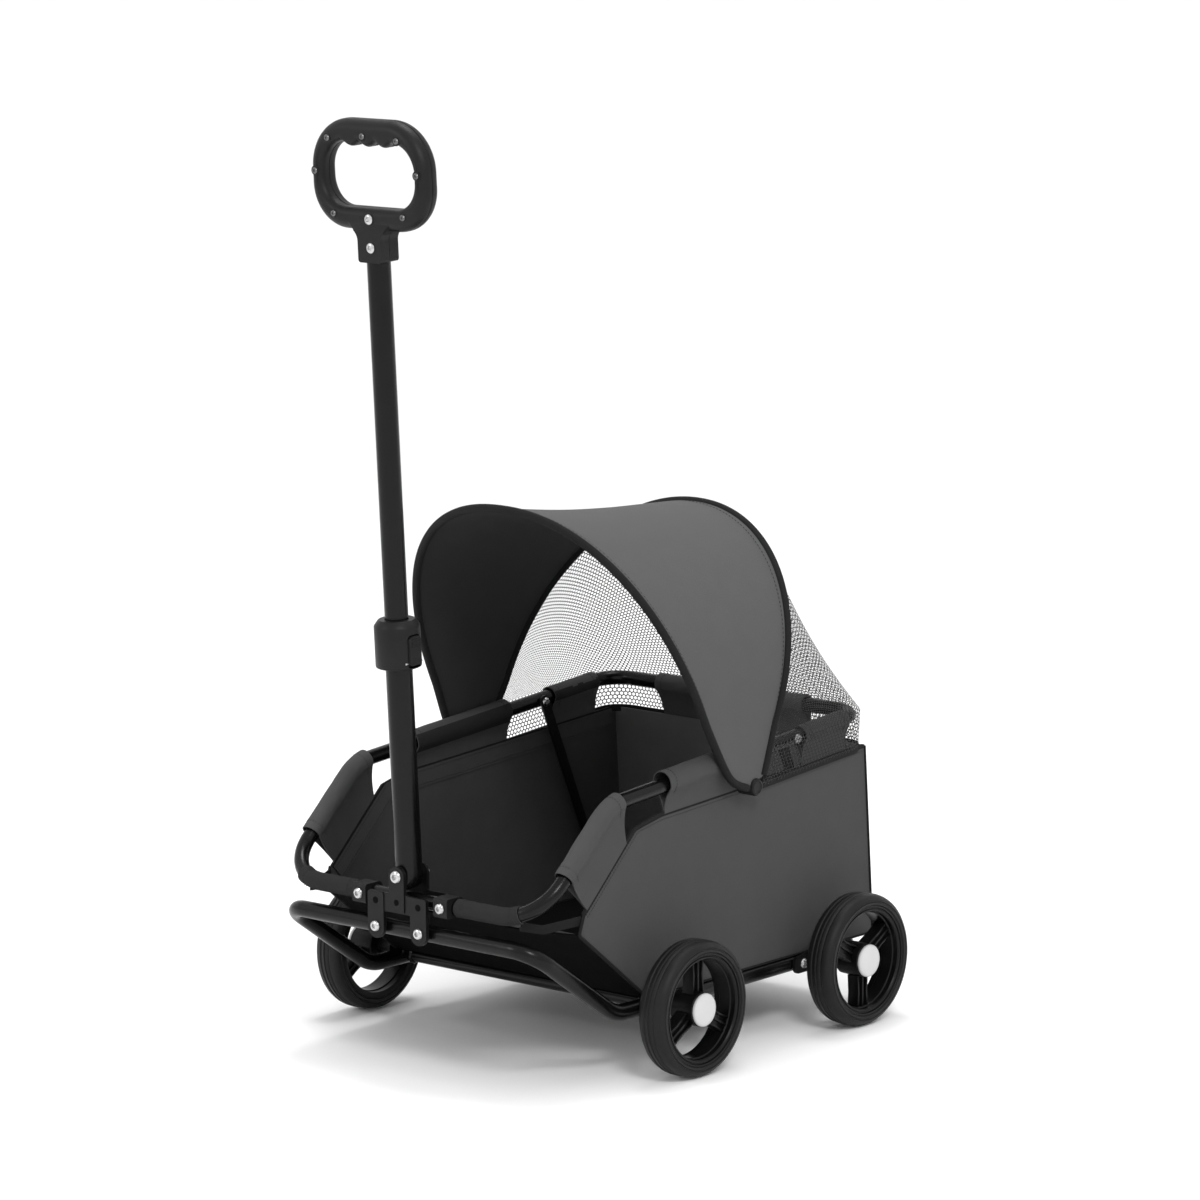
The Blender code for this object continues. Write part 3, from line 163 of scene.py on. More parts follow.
class Graph:
    """A material's nodes: one Principled shader, fed by fields."""

    def __init__(self, name):
        self.material = bpy.data.materials.new(name)
        self.material.use_nodes = True
        self.tree = self.material.node_tree
        self.shader = self.tree.nodes["Principled BSDF"]

    def node(self, kind, settings=None, inputs=None, output=0):
        made = self.tree.nodes.new("ShaderNode" + kind)
        for key, value in (settings or {}).items():
            setattr(made, key, value)
        for key, value in (inputs or {}).items():
            if isinstance(value, Field):
                self.tree.links.new(value.socket, made.inputs[key])
            else:
                made.inputs[key].default_value = value
        return Field(self, made.outputs[output])

    def place(self):
        """Where a point is on the piece, in metres."""
        return self.node("TexCoord", output=3)

    def cloth(self):
        """Distances across and along the cloth, in metres."""
        flat = self.node("UVMap", {"uv_map": "cloth"})
        parts = self.node("SeparateXYZ", inputs={0: flat})
        return parts, Field(self, parts.socket.node.outputs[1]), flat

    def clouds(self, where, scale, detail=2.0, roughness=0.5):
        return self.node("TexNoise", inputs={"Vector": where, "Scale": scale, "Detail": detail,
                                              "Roughness": roughness})

    def between(self, share, low, high):
        """The colour at a share of the way from one to another."""
        colours = {6: (*low, 1), 7: (*high, 1)}
        return self.node("Mix", {"data_type": "RGBA"}, {0: share, **colours}, output=2)

    def bump(self, height, depth, strength=1.0):
        return self.node("Bump", inputs={"Height": height, "Distance": depth, "Strength": strength})

    def finish(self, **sockets):
        for key, value in sockets.items():
            socket = self.shader.inputs[key.replace("_", " ").title().replace("Ior", "IOR")]
            if isinstance(value, Field):
                self.tree.links.new(value.socket, socket)
            else:
                socket.default_value = value
        return self.material


def shade(value):
    """A neutral grey."""
    return (value, value, value)


def paint(name, dark, light, roughness, specular):
    """Powder coat: fine orange peel, and a faint cloudiness in the gloss."""
    g = Graph(name)
    at = g.place()
    peel = g.clouds(at, 1500, 2)
    soft = g.clouds(at, 38, 3)
    dust = g.clouds(at, 260, 4, 0.7)
    return g.finish(base_color=g.between(soft * 0.6 + dust * 0.4, shade(dark), shade(light)),
                    roughness=roughness + (soft - 0.5) * 0.14 + (dust - 0.5) * 0.10,
                    specular_ior_level=specular, normal=g.bump(peel, 0.00008))


def moulded(name, dark, light, roughness, specular, grain=900):
    """Moulded plastic with a fine spark-eroded grain."""
    g = Graph(name)
    at = g.place()
    fine, soft = g.clouds(at, grain * 2, 3, 0.6), g.clouds(at, 30, 3)
    pits = g.node("TexVoronoi", inputs={"Vector": at, "Scale": grain})
    return g.finish(base_color=g.between(soft * 0.7 + fine * 0.3, shade(dark), shade(light)),
                    roughness=roughness + (soft - 0.5) * 0.12 + (fine - 0.5) * 0.12,
                    specular_ior_level=specular, normal=g.bump(pits * 0.6 + fine * 0.4, 0.00012))


def rubber():
    """Tyre: matt, with fine pitting and a little pale dust where it rolls."""
    g = Graph("tyre_rubber")
    at = g.place()
    fine, soft = g.clouds(at, 1400, 4, 0.65), g.clouds(at, 55, 4)
    scuff = (g.clouds(at, 210, 5, 0.7) - 0.56).most(0) * 2.2
    return g.finish(base_color=g.between((soft * 0.35 + scuff).least(1), shade(0.0045), shade(0.016)),
                    roughness=0.46 + (fine - 0.5) * 0.25 + scuff * 0.2, specular_ior_level=0.20,
                    normal=g.bump(fine, 0.0002))


def metal(name, dark, light, dull=0.26):
    """Plated steel, with fine turning marks and small dull patches."""
    g = Graph(name)
    at = g.place()
    fine, soft = g.clouds(at, 2600, 3, 0.6), g.clouds(at, 420, 3)
    return g.finish(base_color=g.between(soft, shade(dark), shade(light)), metallic=1.0,
                    roughness=dull + (soft - 0.5) * 0.18 + (fine - 0.5) * 0.12, normal=g.bump(fine, 0.00005))


def weave(name, dark, light, pitch, roughness, depth=0.00010, ribbed=False, specular=0.2):
    """Plain weave, or ribbed tape, on the cloth's own threads, with slubs, mottling and slow ripples."""
    g = Graph(name)
    across, along, flat = g.cloth()
    at = g.place()
    turn = math.pi / pitch
    weft = abs((along * turn).sine())
    threads = weft
    if not ribbed:
        warp = abs((across * turn).sine())
        over = ((across * turn / 2).sine() * (along * turn / 2).sine()) > 0
        threads = over * warp + (1 - over) * weft
    slub = g.clouds(g.node("Mapping", inputs={0: flat, 3: (1800, 90, 1)}), 1.0, 2)
    mottle = g.clouds(at, 46, 4, 0.6)
    ripple = g.clouds(at, 15, 2)
    tone = threads * 0.42 + slub * 0.22 + mottle * 0.36
    height = threads * 0.8 + slub * 0.5
    fold = g.bump(ripple, 0.0035, 0.55)
    close = g.node("Bump", inputs={"Height": height, "Distance": depth, "Normal": fold})
    return g.finish(base_color=g.between(tone, shade(dark), shade(light)),
                    roughness=roughness + (mottle - 0.5) * 0.14 + (threads - 0.5) * 0.08,
                    specular_ior_level=specular, normal=close)


def netting(pitch, thread):
    """Knitted net: round holes in staggered rows, open right through."""
    g = Graph("netting")
    across, along, _ = g.cloth()
    tall = pitch * math.sqrt(3)

    def from_hole(shift):
        x = (across + shift * pitch) % pitch - pitch / 2
        y = (along + shift * tall) % tall - tall / 2
        return (x * x + y * y).root()
    nearest = from_hole(0.0).least(from_hole(0.5))
    hole = (pitch - thread) / 2
    edge = ((nearest - hole) / (thread * 0.22)).most(0).least(1)
    fuzz = g.clouds(g.place(), 2200, 3)
    return g.finish(base_color=g.between(fuzz, shade(0.006), shade(0.022)),
                    roughness=0.62 + (fuzz - 0.5) * 0.2, specular_ior_level=0.25, alpha=edge,
                    normal=g.bump(nearest * 900 + fuzz * 0.2, 0.0002))


def floor_finish():
    g = Graph("studio_floor")
    soft = g.clouds(g.place(), 3.0, 3)
    return g.finish(base_color=g.between(soft, shade(0.93), shade(0.95)),
                    roughness=0.75 + (soft - 0.5) * 0.05, specular_ior_level=0.1)


def make_finishes(sizes):
    """All materials, by name."""
    FINISH.update({
        "painted_tube": paint("painted_tube", 0.0018, 0.0040, 0.22, 0.20),
        "painted_plate": paint("painted_plate", 0.0036, 0.0070, 0.38, 0.18),
        "black_plastic": moulded("black_plastic", 0.0060, 0.0110, 0.44, 0.17),
        "wheel_plastic": moulded("wheel_plastic", 0.0020, 0.0046, 0.36, 0.16, 700),
        # Near-black paint for thin discs: painted shade standing in for the bracket's holes.
        "hole_black": paint("hole_black", 0.0008, 0.0016, 0.70, 0.05),
        # Near-black cloth: painted shade on the body's undersides, the front panel's outer face and the floor
        # panel.
        "under_cloth": weave("under_cloth", 0.0012, 0.0030, sizes.thread, 0.86, specular=0.04),
        # Lighter copy of the inner cloth for the rear wall only: painted light where the canopy shades that
        # wall.
        "rear_painted_light_cloth": weave("rear_painted_light_cloth", 0.070, 0.125, sizes.thread, 0.84, specular=0.12),
        # Darker cloth: the front sleeves' own colour, and painted shade on the cabin side of some sleeves.
        "dark_cloth_and_painted_shade": weave("dark_cloth_and_painted_shade", 0.013, 0.026, sizes.thread, 0.84, specular=0.10),
        "tyre_rubber": rubber(),
        "light_cap": moulded("light_cap", 0.50, 0.58, 0.35, 0.3, 600),
        "body_cloth": weave("body_cloth", sizes.body_shade * 0.72, sizes.body_shade * 1.30,
                            sizes.thread, 0.80),
        "inner_cloth": weave("inner_cloth", 0.036, 0.068, sizes.thread, 0.84, specular=0.12),
        "canopy_cloth": weave("canopy_cloth", sizes.canopy_shade * 0.74, sizes.canopy_shade * 1.28,
                              sizes.thread * 0.9, 0.74, specular=0.18),
        "canopy_lining": weave("canopy_lining", 0.022, 0.042, sizes.thread * 0.9, 0.80, specular=0.12),
        "netting": netting(sizes.net_pitch, sizes.net_thread),
        "bow_binding": weave("bow_binding", 0.0035, 0.0100, 0.0011, 0.78, 0.0002, ribbed=True),
        "floor_mat": weave("floor_mat", 0.0040, 0.0085, 0.0012, 0.88, 0.0002, specular=0.05),
        "stitching": weave("stitching", 0.010, 0.030, 0.0006, 0.75, 0.0001, ribbed=True),
        "bolt_steel": metal("bolt_steel", 0.42, 0.66),
        "screw_steel": metal("screw_steel", 0.10, 0.22, 0.34),
        "studio_floor": floor_finish(),
    })


# ---- Mesh making -----------------------------------------------------------------------------------------
def bent(points, radii, step=4.0):
    """Straight runs through points, with an arc of the given radius at each inner point."""
    points = [Vector(p) for p in points]
    path = [points[0]]
    for before, corner, after, radius in zip(points, points[1:], points[2:], radii):
        into, out = (corner - before).normalized(), (after - corner).normalized()
        turn = into.angle(out)
        if turn < 1e-4:
            continue
        normal = into.cross(out).normalized()
        start = corner - into * radius * math.tan(turn / 2)
        centre = start + normal.cross(into) * radius
        count = max(3, round(math.degrees(turn) / step))
        for i in range(count + 1):
            path.append(centre + Matrix.Rotation(turn * i / count, 3, normal) @ (start - centre))
    path.append(points[-1])
    return path


def mirrored(half):
    """A path that is the same on both sides, from its right half, which starts in the middle."""
    left = [Vector((-p.x, p.y, p.z)) for p in reversed(half)]
    return [p for p in left if p.x < -1e-6] + [p for p in half if p.x > 1e-6]


def evenly(points, count):
    """The same line with a given number of evenly spaced points."""
    lengths = [0.0]
    for a, b in zip(points, points[1:]):
        lengths.append(lengths[-1] + (b - a).length)
    result, k = [], 0
    for i in range(count):
        target = lengths[-1] * i / (count - 1)
        while k < len(points) - 2 and lengths[k + 1] < target:
            k += 1
        share = (target - lengths[k]) / (lengths[k + 1] - lengths[k])
        result.append(points[k].lerp(points[k + 1], min(1.0, share)))
    return result


def spaced(points, pitch):
    length = sum((b - a).length for a, b in zip(points, points[1:]))
    return evenly(points, max(2, round(length / pitch) + 1))


def rounded(corners, radii, step=7.5):
    """A closed outline of (a, b) corners with an arc at each corner whose radius isn't zero."""
    outline, count = [], len(corners)
    for i, (corner, radius) in enumerate(zip(corners, radii)):
        here, before, after = Vector(corner), Vector(corners[i - 1]), Vector(corners[(i + 1) % count])
        if radius <= 0:
            outline.append(tuple(here))
            continue
        into, out = (here - before).normalized(), (after - here).normalized()
        turn = into.angle_signed(out)
        start = here - into * radius * math.tan(abs(turn) / 2)
        centre = start + Vector((-into.y, into.x)) * (-radius if turn > 0 else radius)
        steps = max(2, round(math.degrees(abs(turn)) / step))
        for k in range(steps + 1):
            outline.append(tuple(centre + Matrix.Rotation(-turn * k / steps, 2) @ (start - centre)))
    return outline


def circle(radius, sides=28):
    return [(radius * math.cos(2 * math.pi * i / sides), radius * math.sin(2 * math.pi * i / sides))
            for i in range(sides)]


def flat_tape(half_thick, half_wide):
    """The section of a tape: thin across, wide along its up direction."""
    return [(a * half_thick, b * half_wide) for a, b in ((-1, -1), (1, -1), (1, 1), (-1, 1))]


def frames_along(path, up=None):
    """Side and up directions at each point of a path, level with up, or turning as little as they can."""
    found, last = [], None
    for i in range(len(path)):
        tangent = (path[min(i + 1, len(path) - 1)] - path[max(i - 1, 0)]).normalized()
        if up is not None:
            vertical = Vector(up)
        elif last is None:
            vertical = Vector((0.05, 0.03, 1)) if abs(tangent.z) < 0.9 else Vector((0, 1, 0.05))
        else:
            vertical = last
        vertical = (vertical - tangent * vertical.dot(tangent)).normalized()
        last = vertical
        found.append((vertical.cross(tangent), vertical))
    return found


def cloth_layer(bm):
    return bm.loops.layers.uv.get("cloth") or bm.loops.layers.uv.new("cloth")


def sweep(bm, path, profile, up=None):
    """Carry a closed profile of (side, up) points along a path. The cloth layer holds true distances."""
    layer = cloth_layer(bm)
    rows, far = [], [0.0]
    for i, (point, (side, vertical)) in enumerate(zip(path, frames_along(path, up))):
        rows.append([bm.verts.new(point + (side * u + vertical * v)) for u, v in profile])
        if i:
            far.append(far[-1] + (path[i] - path[i - 1]).length)
    around = [0.0]
    for i in range(len(profile)):
        a, b = Vector(profile[i]), Vector(profile[(i + 1) % len(profile)])
        around.append(around[-1] + (b - a).length)
    for r, (first, second) in enumerate(zip(rows, rows[1:])):
        for i in range(len(profile)):
            j = (i + 1) % len(profile)
            face = bm.faces.new((first[i], first[j], second[j], second[i]))
            for loop, u, v in zip(face.loops, (around[i], around[i + 1], around[i + 1], around[i]),
                                  (far[r], far[r], far[r + 1], far[r + 1])):
                loop[layer].uv = (u, v)
    bm.faces.new(rows[0])
    bm.faces.new(rows[-1])


def tube(bm, path, radius, sides=28):
    sweep(bm, [Vector(p) for p in path], circle(radius, sides))


def lathe(bm, profile, segments=48, matrix=None, shape=None):
    """Turn a profile of (radius, height) points about Z.

    It is a closed loop if it doesn't start and end on the axis."""
    open_ended = profile[0][0] < 1e-7 and profile[-1][0] < 1e-7
    rings, made = [], []
    for i in range(segments):
        angle = 2 * math.pi * i / segments
        row = []
        for k, (r, h) in enumerate(profile):
            if r < 1e-7 and i:
                row.append(rings[0][k])
                continue
            reach = r * (shape(angle, k) if shape else 1.0)
            vert = bm.verts.new((reach * math.cos(angle), reach * math.sin(angle), h))
            made.append(vert)
            row.append(vert)
        rings.append(row)
    for i in range(segments):
        first, second = rings[i], rings[(i + 1) % segments]
        for k in range(len(profile) - 1 if open_ended else len(profile)):
            m = (k + 1) % len(profile)
            corners = []
            for vert in (first[k], first[m], second[m], second[k]):
                if vert not in corners:
                    corners.append(vert)
            if len(corners) > 2:
                bm.faces.new(corners)
    if matrix is not None:
        bmesh.ops.transform(bm, matrix=matrix, verts=made)


def facing(centre, direction, spin=0.0):
    """A place whose own +Z points in a direction."""
    turn = Vector((0, 0, 1)).rotation_difference(Vector(direction)).to_matrix().to_4x4()
    return Matrix.Translation(Vector(centre)) @ turn @ Matrix.Rotation(spin, 4, "Z")


def block(bm, outline, low, high, axis, bevel=0.0, steps=3, matrix=None):
    """Extrude an outline between two planes and round its edges."""
    def point(a, b, c):
        return {"X": (c, a, b), "Y": (a, c, b), "Z": (a, b, c)}[axis]

    rings = [[bm.verts.new(point(a, b, level)) for a, b in outline] for level in (low, high)]
    faces = [bm.faces.new(ring) for ring in rings]
    for i in range(len(outline)):
        j = (i + 1) % len(outline)
        faces.append(bm.faces.new((rings[0][i], rings[0][j], rings[1][j], rings[1][i])))
    verts = rings[0] + rings[1]
    if bevel:
        edges = [e for f in faces[:2] for e in f.edges]
        grown = bmesh.ops.bevel(bm, geom=edges, offset=bevel, segments=steps, profile=0.5, affect="EDGES",
                                clamp_overlap=True)
        verts = list({v for v in verts if v.is_valid} | set(grown["verts"]))
    if matrix is not None:
        bmesh.ops.transform(bm, matrix=matrix, verts=verts)


def gridded(bm, outline, cell, shape):
    """A flat outline cut into small cells, then carried to its place by shape(a, b, edge distance)."""
    layer = cloth_layer(bm)
    verts = [bm.verts.new((a, b, 0)) for a, b in outline]
    bm.faces.new(verts)
    lows = [min(p[k] for p in outline) for k in (0, 1)]
    highs = [max(p[k] for p in outline) for k in (0, 1)]
    for k in (0, 1):
        normal = (1, 0, 0) if k == 0 else (0, 1, 0)
        count = max(1, round((highs[k] - lows[k]) / cell))
        for i in range(1, count):
            at = lows[k] + (highs[k] - lows[k]) * i / count
            bmesh.ops.bisect_plane(bm, geom=bm.verts[:] + bm.edges[:] + bm.faces[:],
                                   plane_co=(at, 0, 0) if k == 0 else (0, at, 0), plane_no=normal)
    edges = [(Vector(a), Vector(b)) for a, b in zip(outline, outline[1:] + outline[:1])]

    def edge_distance(p):
        best = 1.0
        for a, b in edges:
            span = b - a
            share = max(0.0, min(1.0, (p - a).dot(span) / span.length_squared))
            best = min(best, (p - a - span * share).length)
        return best
    for face in bm.faces:
        for loop in face.loops:
            loop[layer].uv = loop.vert.co.xy
    for vert in bm.verts:
        vert.co = shape(vert.co.x, vert.co.y, edge_distance(vert.co.xy))


def surface(bm, rows):
    """A sheet through rows of points. The cloth layer holds distances along its middle row and column."""
    layer = cloth_layer(bm)
    grid = [[bm.verts.new(p) for p in row] for row in rows]
    middle, centre_row = len(rows[0]) // 2, len(rows) // 2
    across, along = [0.0], [0.0]
    for a, b in zip(rows[centre_row], rows[centre_row][1:]):
        across.append(across[-1] + (b - a).length)
    for a, b in zip(rows, rows[1:]):
        along.append(along[-1] + (b[middle] - a[middle]).length)
    for r in range(len(rows) - 1):
        for c in range(len(rows[0]) - 1):
            face = bm.faces.new((grid[r][c], grid[r + 1][c], grid[r + 1][c + 1], grid[r][c + 1]))
            for loop, (u, v) in zip(face.loops, ((c, r), (c, r + 1), (c + 1, r + 1), (c + 1, r))):
                loop[layer].uv = (across[u], along[v])


def sheet_size(rows):
    """The longest distance across and along a sheet's rows."""
    across = max(sum((b - a).length for a, b in zip(row, row[1:])) for row in rows)
    along = max(sum((b[c] - a[c]).length for a, b in zip(rows, rows[1:])) for c in range(len(rows[0])))
    return across, along


def sheet_area(rows):
    total = 0.0
    for first, second in zip(rows, rows[1:]):
        for i in range(len(first) - 1):
            total += (second[i + 1] - first[i]).cross(first[i + 1] - second[i]).length / 2
    return total


def polygon_area(outline):
    return abs(sum(a[0] * b[1] - a[1] * b[0] for a, b in zip(outline, outline[1:] + outline[:1]))) / 2


def stitches(bm, path, outward, pitch=0.0032, length=0.0023, width=0.0006):
    """A row of short raised threads along a line on the cloth."""
    points = spaced(path, pitch)
    for a, b in zip(points, points[1:]):
        run = b - a
        if run.length < 1e-6:
            continue
        run.normalize()
        middle = (a + b) / 2
        up = Vector(outward(middle) if callable(outward) else outward).normalized()
        side = run.cross(up).normalized()
        ends = [middle - run * length / 2, middle + run * length / 2]
        ring = [middle + side * width / 2, middle + up * width * 0.8, middle - side * width / 2,
                middle - up * width * 0.8]
        tips = [bm.verts.new(p) for p in ends]
        belt = [bm.verts.new(p) for p in ring]
        for i in range(4):
            bm.faces.new((tips[0], belt[i], belt[(i + 1) % 4]))
            bm.faces.new((tips[1], belt[(i + 1) % 4], belt[i]))


def screw(bm, matrix, radius, height, socket="hex", depth=0.6):
    """A button head with a drive recess, its own +Z out of the face it sits on."""
    def recess(angle, k):
        if k < 5:
            return 1.0
        if socket == "hex":
            return math.cos(math.pi / 6) / math.cos((angle % (math.pi / 3)) - math.pi / 6)
        return 0.36 + 0.64 * abs(math.cos(2 * angle)) ** 3

    inner = radius * (0.50 if socket == "hex" else 0.62)
    lathe(bm, [(0, 0), (radius * 0.97, 0), (radius, height * 0.30), (radius * 0.86, height * 0.78),
               (inner * 1.25, height), (inner, height * 0.97), (inner * 0.9, height * (1 - depth)),
               (0, height * (0.9 - depth))], 24, matrix, recess)


def piece(name, bm, finishes, body, hides=(), sharp=32.0, thickness=0.0, inner=False, offset=-1.0):
    """Put a mesh in the scene as one named piece, riding on a body in place of the CAD nodes it hides."""
    if not thickness:
        bmesh.ops.recalc_face_normals(bm, faces=bm.faces)
    mesh = bpy.data.meshes.new(name)
    bm.to_mesh(mesh)
    bm.free()
    mesh.transform(PLACE)
    for finish in ([finishes] if isinstance(finishes, str) else finishes):
        mesh.materials.append(FINISH[finish])
    mesh.shade_smooth()
    mesh.set_sharp_from_angle(angle=math.radians(sharp))
    made = bpy.data.objects.new(name, mesh)
    bpy.context.collection.objects.link(made)
    if thickness:
        layer = made.modifiers.new("thickness", "SOLIDIFY")
        layer.thickness, layer.offset, layer.use_even_offset = thickness, offset, True
        layer.material_offset = 1 if inner else 0
        layer.material_offset_rim = 1 if inner else 0
        final = bpy.data.meshes.new_from_object(made.evaluated_get(bpy.context.evaluated_depsgraph_get()))
        made.modifiers.clear()
        made.data = final
        final.set_sharp_from_angle(angle=math.radians(60))
    if body:
        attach(made, body)
    if hides:
        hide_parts(*hides)
    return made


def new():
    return bmesh.new()


# ---- Lines that several pieces share ---------------------------------------------------------------------
def rim_height(y):
    return SLOPE_TOP[1] + RIM_RISE * (y - SLOPE_TOP[0]) / (RIM_REAR - SLOPE_TOP[0])


def panel_top(y):
    front, rear = SLOPE_TOP[1] - PANEL_DROP_FRONT, RIM_REAR_Z - PANEL_DROP
    return front + (rear - front) * (y - SLOPE_TOP[0]) / (RIM_REAR - SLOPE_TOP[0])


def rim_path():
    """Right half of the rim's centre line, from the middle of the front bar to the middle of the rear bar."""
    return bent([(0, RIM_FRONT, RIM_FRONT_Z), (RIM_X, RIM_FRONT, RIM_FRONT_Z), (RIM_X, *SLOPE_TOP),
                 (RIM_X, RIM_REAR, RIM_REAR_Z), (0, RIM_REAR, RIM_REAR_Z)],
                [FRONT_CORNER, SLOPE_BEND, REAR_CORNER])


def bow_point(bow, x, reach):
    foot_y, foot_z = bow["foot"]
    return Vector((x, foot_y - reach * math.sin(bow["tilt"]), foot_z + reach * math.cos(bow["tilt"])))


def arch(bow, steps=72):
    half, curve = CANOPY_X - 0.005, []
    for i in range(steps + 1):
        angle = math.pi * i / steps
        x = -half * math.copysign(abs(math.cos(angle)) ** (2 / bow["power"]), math.cos(angle))
        reach = bow["shoulder"] + (bow["height"] - bow["shoulder"]) * math.sin(angle) ** (2 / bow["power"])
        curve.append(bow_point(bow, x, reach))
    return curve


def smooth_line(points, rounds=2):
    """Cut the corners of a line a few times, keeping its ends."""
    for _ in range(rounds):
        cut = [points[0]]
        for a, b in zip(points, points[1:]):
            cut += [a.lerp(b, 0.25), a.lerp(b, 0.75)]
        points = cut + [points[-1]]
    return points


def front_bow_line():
    legs = []
    for sign in (-1, 1):
        x = sign * CANOPY_X
        legs.append(smooth_line([Vector((x, BUTTON[0] - 0.0124, BUTTON[1] + 0.001)),
                                 Vector((x, BUTTON[0] - 0.030, BUTTON[1] + 0.007)),
                                 bow_point(FRONT_BOW, x, 0.032), arch(FRONT_BOW)[0 if sign < 0 else -1]]))
    return legs[0][:-1] + arch(FRONT_BOW) + legs[1][:-1][::-1]


def rear_bow_line():
    foot = 0.0160
    left, right = (bow_point(REAR_BOW, sign * CANOPY_X, foot) for sign in (-1, 1))
    return [left] + arch(REAR_BOW) + [right]


# ---- Stage -----------------------------------------------------------------------------------------------
def build_stage(sizes):
    bm = new()
    depth, back, rise, bend = 12.0, 4.0, 9.0, 3.0
    section = [(-depth, 0.0), (back, 0.0)]
    section += [(back + bend * math.sin(a), bend - bend * math.cos(a)) for a in
                (math.pi / 2 * i / 32 for i in range(1, 33))] + [(back + bend, rise)]
    rows = [[Vector((x, y, z)) for x in (-14, -5, 5, 14)] for y, z in section]
    surface(bm, rows)
    floor = piece("studio_floor", bm, "studio_floor", None)
    floor.data.transform(PLACE.inverted())
    floor.matrix_world = Matrix.Rotation(sizes.camera_turn, 4, "Z")

    def lamp(name, place, aim, size, power):
        data = bpy.data.lights.new(name, "AREA")
        data.shape, data.size, data.size_y, data.energy = "RECTANGLE", size[0], size[1], power
        made = bpy.data.objects.new(name, data)
        bpy.context.collection.objects.link(made)
        made.location = place
        made.rotation_euler = (Vector(aim) - Vector(place)).to_track_quat("-Z", "Y").to_euler()

    middle = (0, 0, 0.35)
    lamp("key", (2.4, -1.6, 2.7), middle, (0.8, 0.8), sizes.key_power)
    lamp("fill", (-1.6, -3.0, 1.9), middle, (0.7, 0.9), sizes.key_power * 0.5)
    lamp("top", (-0.3, 0.5, 3.2), middle, (1.0, 1.0), sizes.key_power * 0.7)
    world = bpy.data.worlds.new("studio")
    world.use_nodes = True
    world.node_tree.nodes["Background"].inputs[0].default_value = (1, 1, 1, 1)
    world.node_tree.nodes["Background"].inputs[1].default_value = sizes.surround
    bpy.context.scene.world = world
    data = bpy.data.cameras.new("camera")
    data.lens, data.sensor_width, data.clip_end = CAMERA_LENS, 36.0, 60.0
    camera = bpy.data.objects.new("camera", data)
    bpy.context.collection.objects.link(camera)
    turn = (Matrix.Rotation(sizes.camera_turn, 4, "Z")
            @ Matrix.Rotation(math.pi / 2 - sizes.camera_drop, 4, "X"))
    camera.matrix_world = Matrix.Translation(CAMERA_PLACE) @ turn @ Matrix.Rotation(CAMERA_ROLL, 4, "Z")
    bpy.context.scene.camera = camera
    bpy.context.scene.view_settings.view_transform = "Standard"


# ---- Undercarriage ---------------------------------------------------------------------------------------
def build_undercarriage():
    half = bent([(0, BUMPER_Y, BUMPER_Z), (RAIL_X, BUMPER_Y, BUMPER_Z), (RAIL_X, ARM_FOOT, RAIL_Z),
                 (RAIL_X, -RAIL_JOINT - 0.0002, RAIL_Z)], [0.026, 0.050])
    bm = new()
    tube(bm, mirrored(half), RAIL_RADIUS)
    piece("bumper_loop", bm, "painted_tube", "frame", ["bumper_tube"])
    for side, sign in SIDES:
        x = sign * RAIL_X
        bm = new()
        tube(bm, evenly([Vector((x, y, RAIL_Z)) for y in (-RAIL_JOINT, RAIL_JOINT)], 12), RAIL_RADIUS)
        piece(f"base_rail_{side}", bm, "painted_tube", "frame", [f"side_rail_{side}"])
    half = bent([(0, RAIL_REAR, RAIL_Z), (RAIL_X, RAIL_REAR, RAIL_Z), (RAIL_X, RAIL_JOINT + 0.0002, RAIL_Z)],
                [0.030])
    bm = new()
    tube(bm, mirrored(half), RAIL_RADIUS)
    piece("rear_loop", bm, "painted_tube", "frame", ["rear_tube"])
    for end, sign in (("front", -1), ("rear", 1)):
        y, reach = sign * HALF_WHEELBASE, RAIL_X - RAIL_RADIUS * 0.7
        bm = new()
        tube(bm, evenly([Vector((-reach, y, RAIL_Z)), Vector((reach, y, RAIL_Z))], 12), CROSS_RADIUS, 24)
        for way in (-1, 1):
            bead = [(0.0052, 0.0), (CROSS_RADIUS + 0.0017, 0.0), (CROSS_RADIUS + 0.0022, 0.0012),
                    (CROSS_RADIUS + 0.0008, 0.0030), (0.0052, 0.0034)]
            lathe(bm, bead, 32, facing((way * (RAIL_X - RAIL_RADIUS + 0.0002), y, RAIL_Z), (-way, 0, 0)),
                  lambda a, k: 1 + 0.05 * math.sin(9 * a + k))
        piece(f"{end}_cross_bar", bm, "painted_tube", "frame", [f"{end}_cross_tube"])


def build_axle(end, side, sign, y):
    inner = PLATE_X + PLATE
    wheel_inner = WHEEL_X - WHEEL_WIDTH / 2
    bm = new()
    forward = -0.048 if y > 0 else 0.048
    corners = [(y + forward, RAIL_Z - 0.009), (y - forward * 0.35, RAIL_Z - 0.009),
               (y - forward * 0.35, WHEEL_RADIUS + 0.012), (y + forward, RAIL_Z + 0.007)]
    low, high = sorted((sign * PLATE_X, sign * inner))
    block(bm, rounded(corners, [0.006] * 4), low, high, "X", 0.0006)
    at = facing((0, y, WHEEL_RADIUS), (sign, 0, 0))
    lathe(bm, [(0, inner - 0.001), (0.0105, inner - 0.001), (0.0105, inner + 0.0016),
               (0.0088, inner + 0.0032), (0.0075, inner + 0.0046), (0.0075, wheel_inner - 0.0008),
               (0.0068, wheel_inner - 0.0004),
               (AXLE_RADIUS, wheel_inner - 0.0004), (AXLE_RADIUS, wheel_inner + WHEEL_WIDTH - 0.004),
               (0, wheel_inner + WHEEL_WIDTH - 0.004)], 32, at)
    piece(f"axle_plate_{end}_{side}", bm, "painted_plate", "frame", [f"axle_{end}_{side}"])
    bm = new()
    screw(bm, facing((sign * inner, y + forward * 0.72, RAIL_Z), (sign, 0, 0)), 0.0050, 0.0030)
    piece(f"axle_plate_bolt_{end}_{side}", bm, "bolt_steel", "frame")


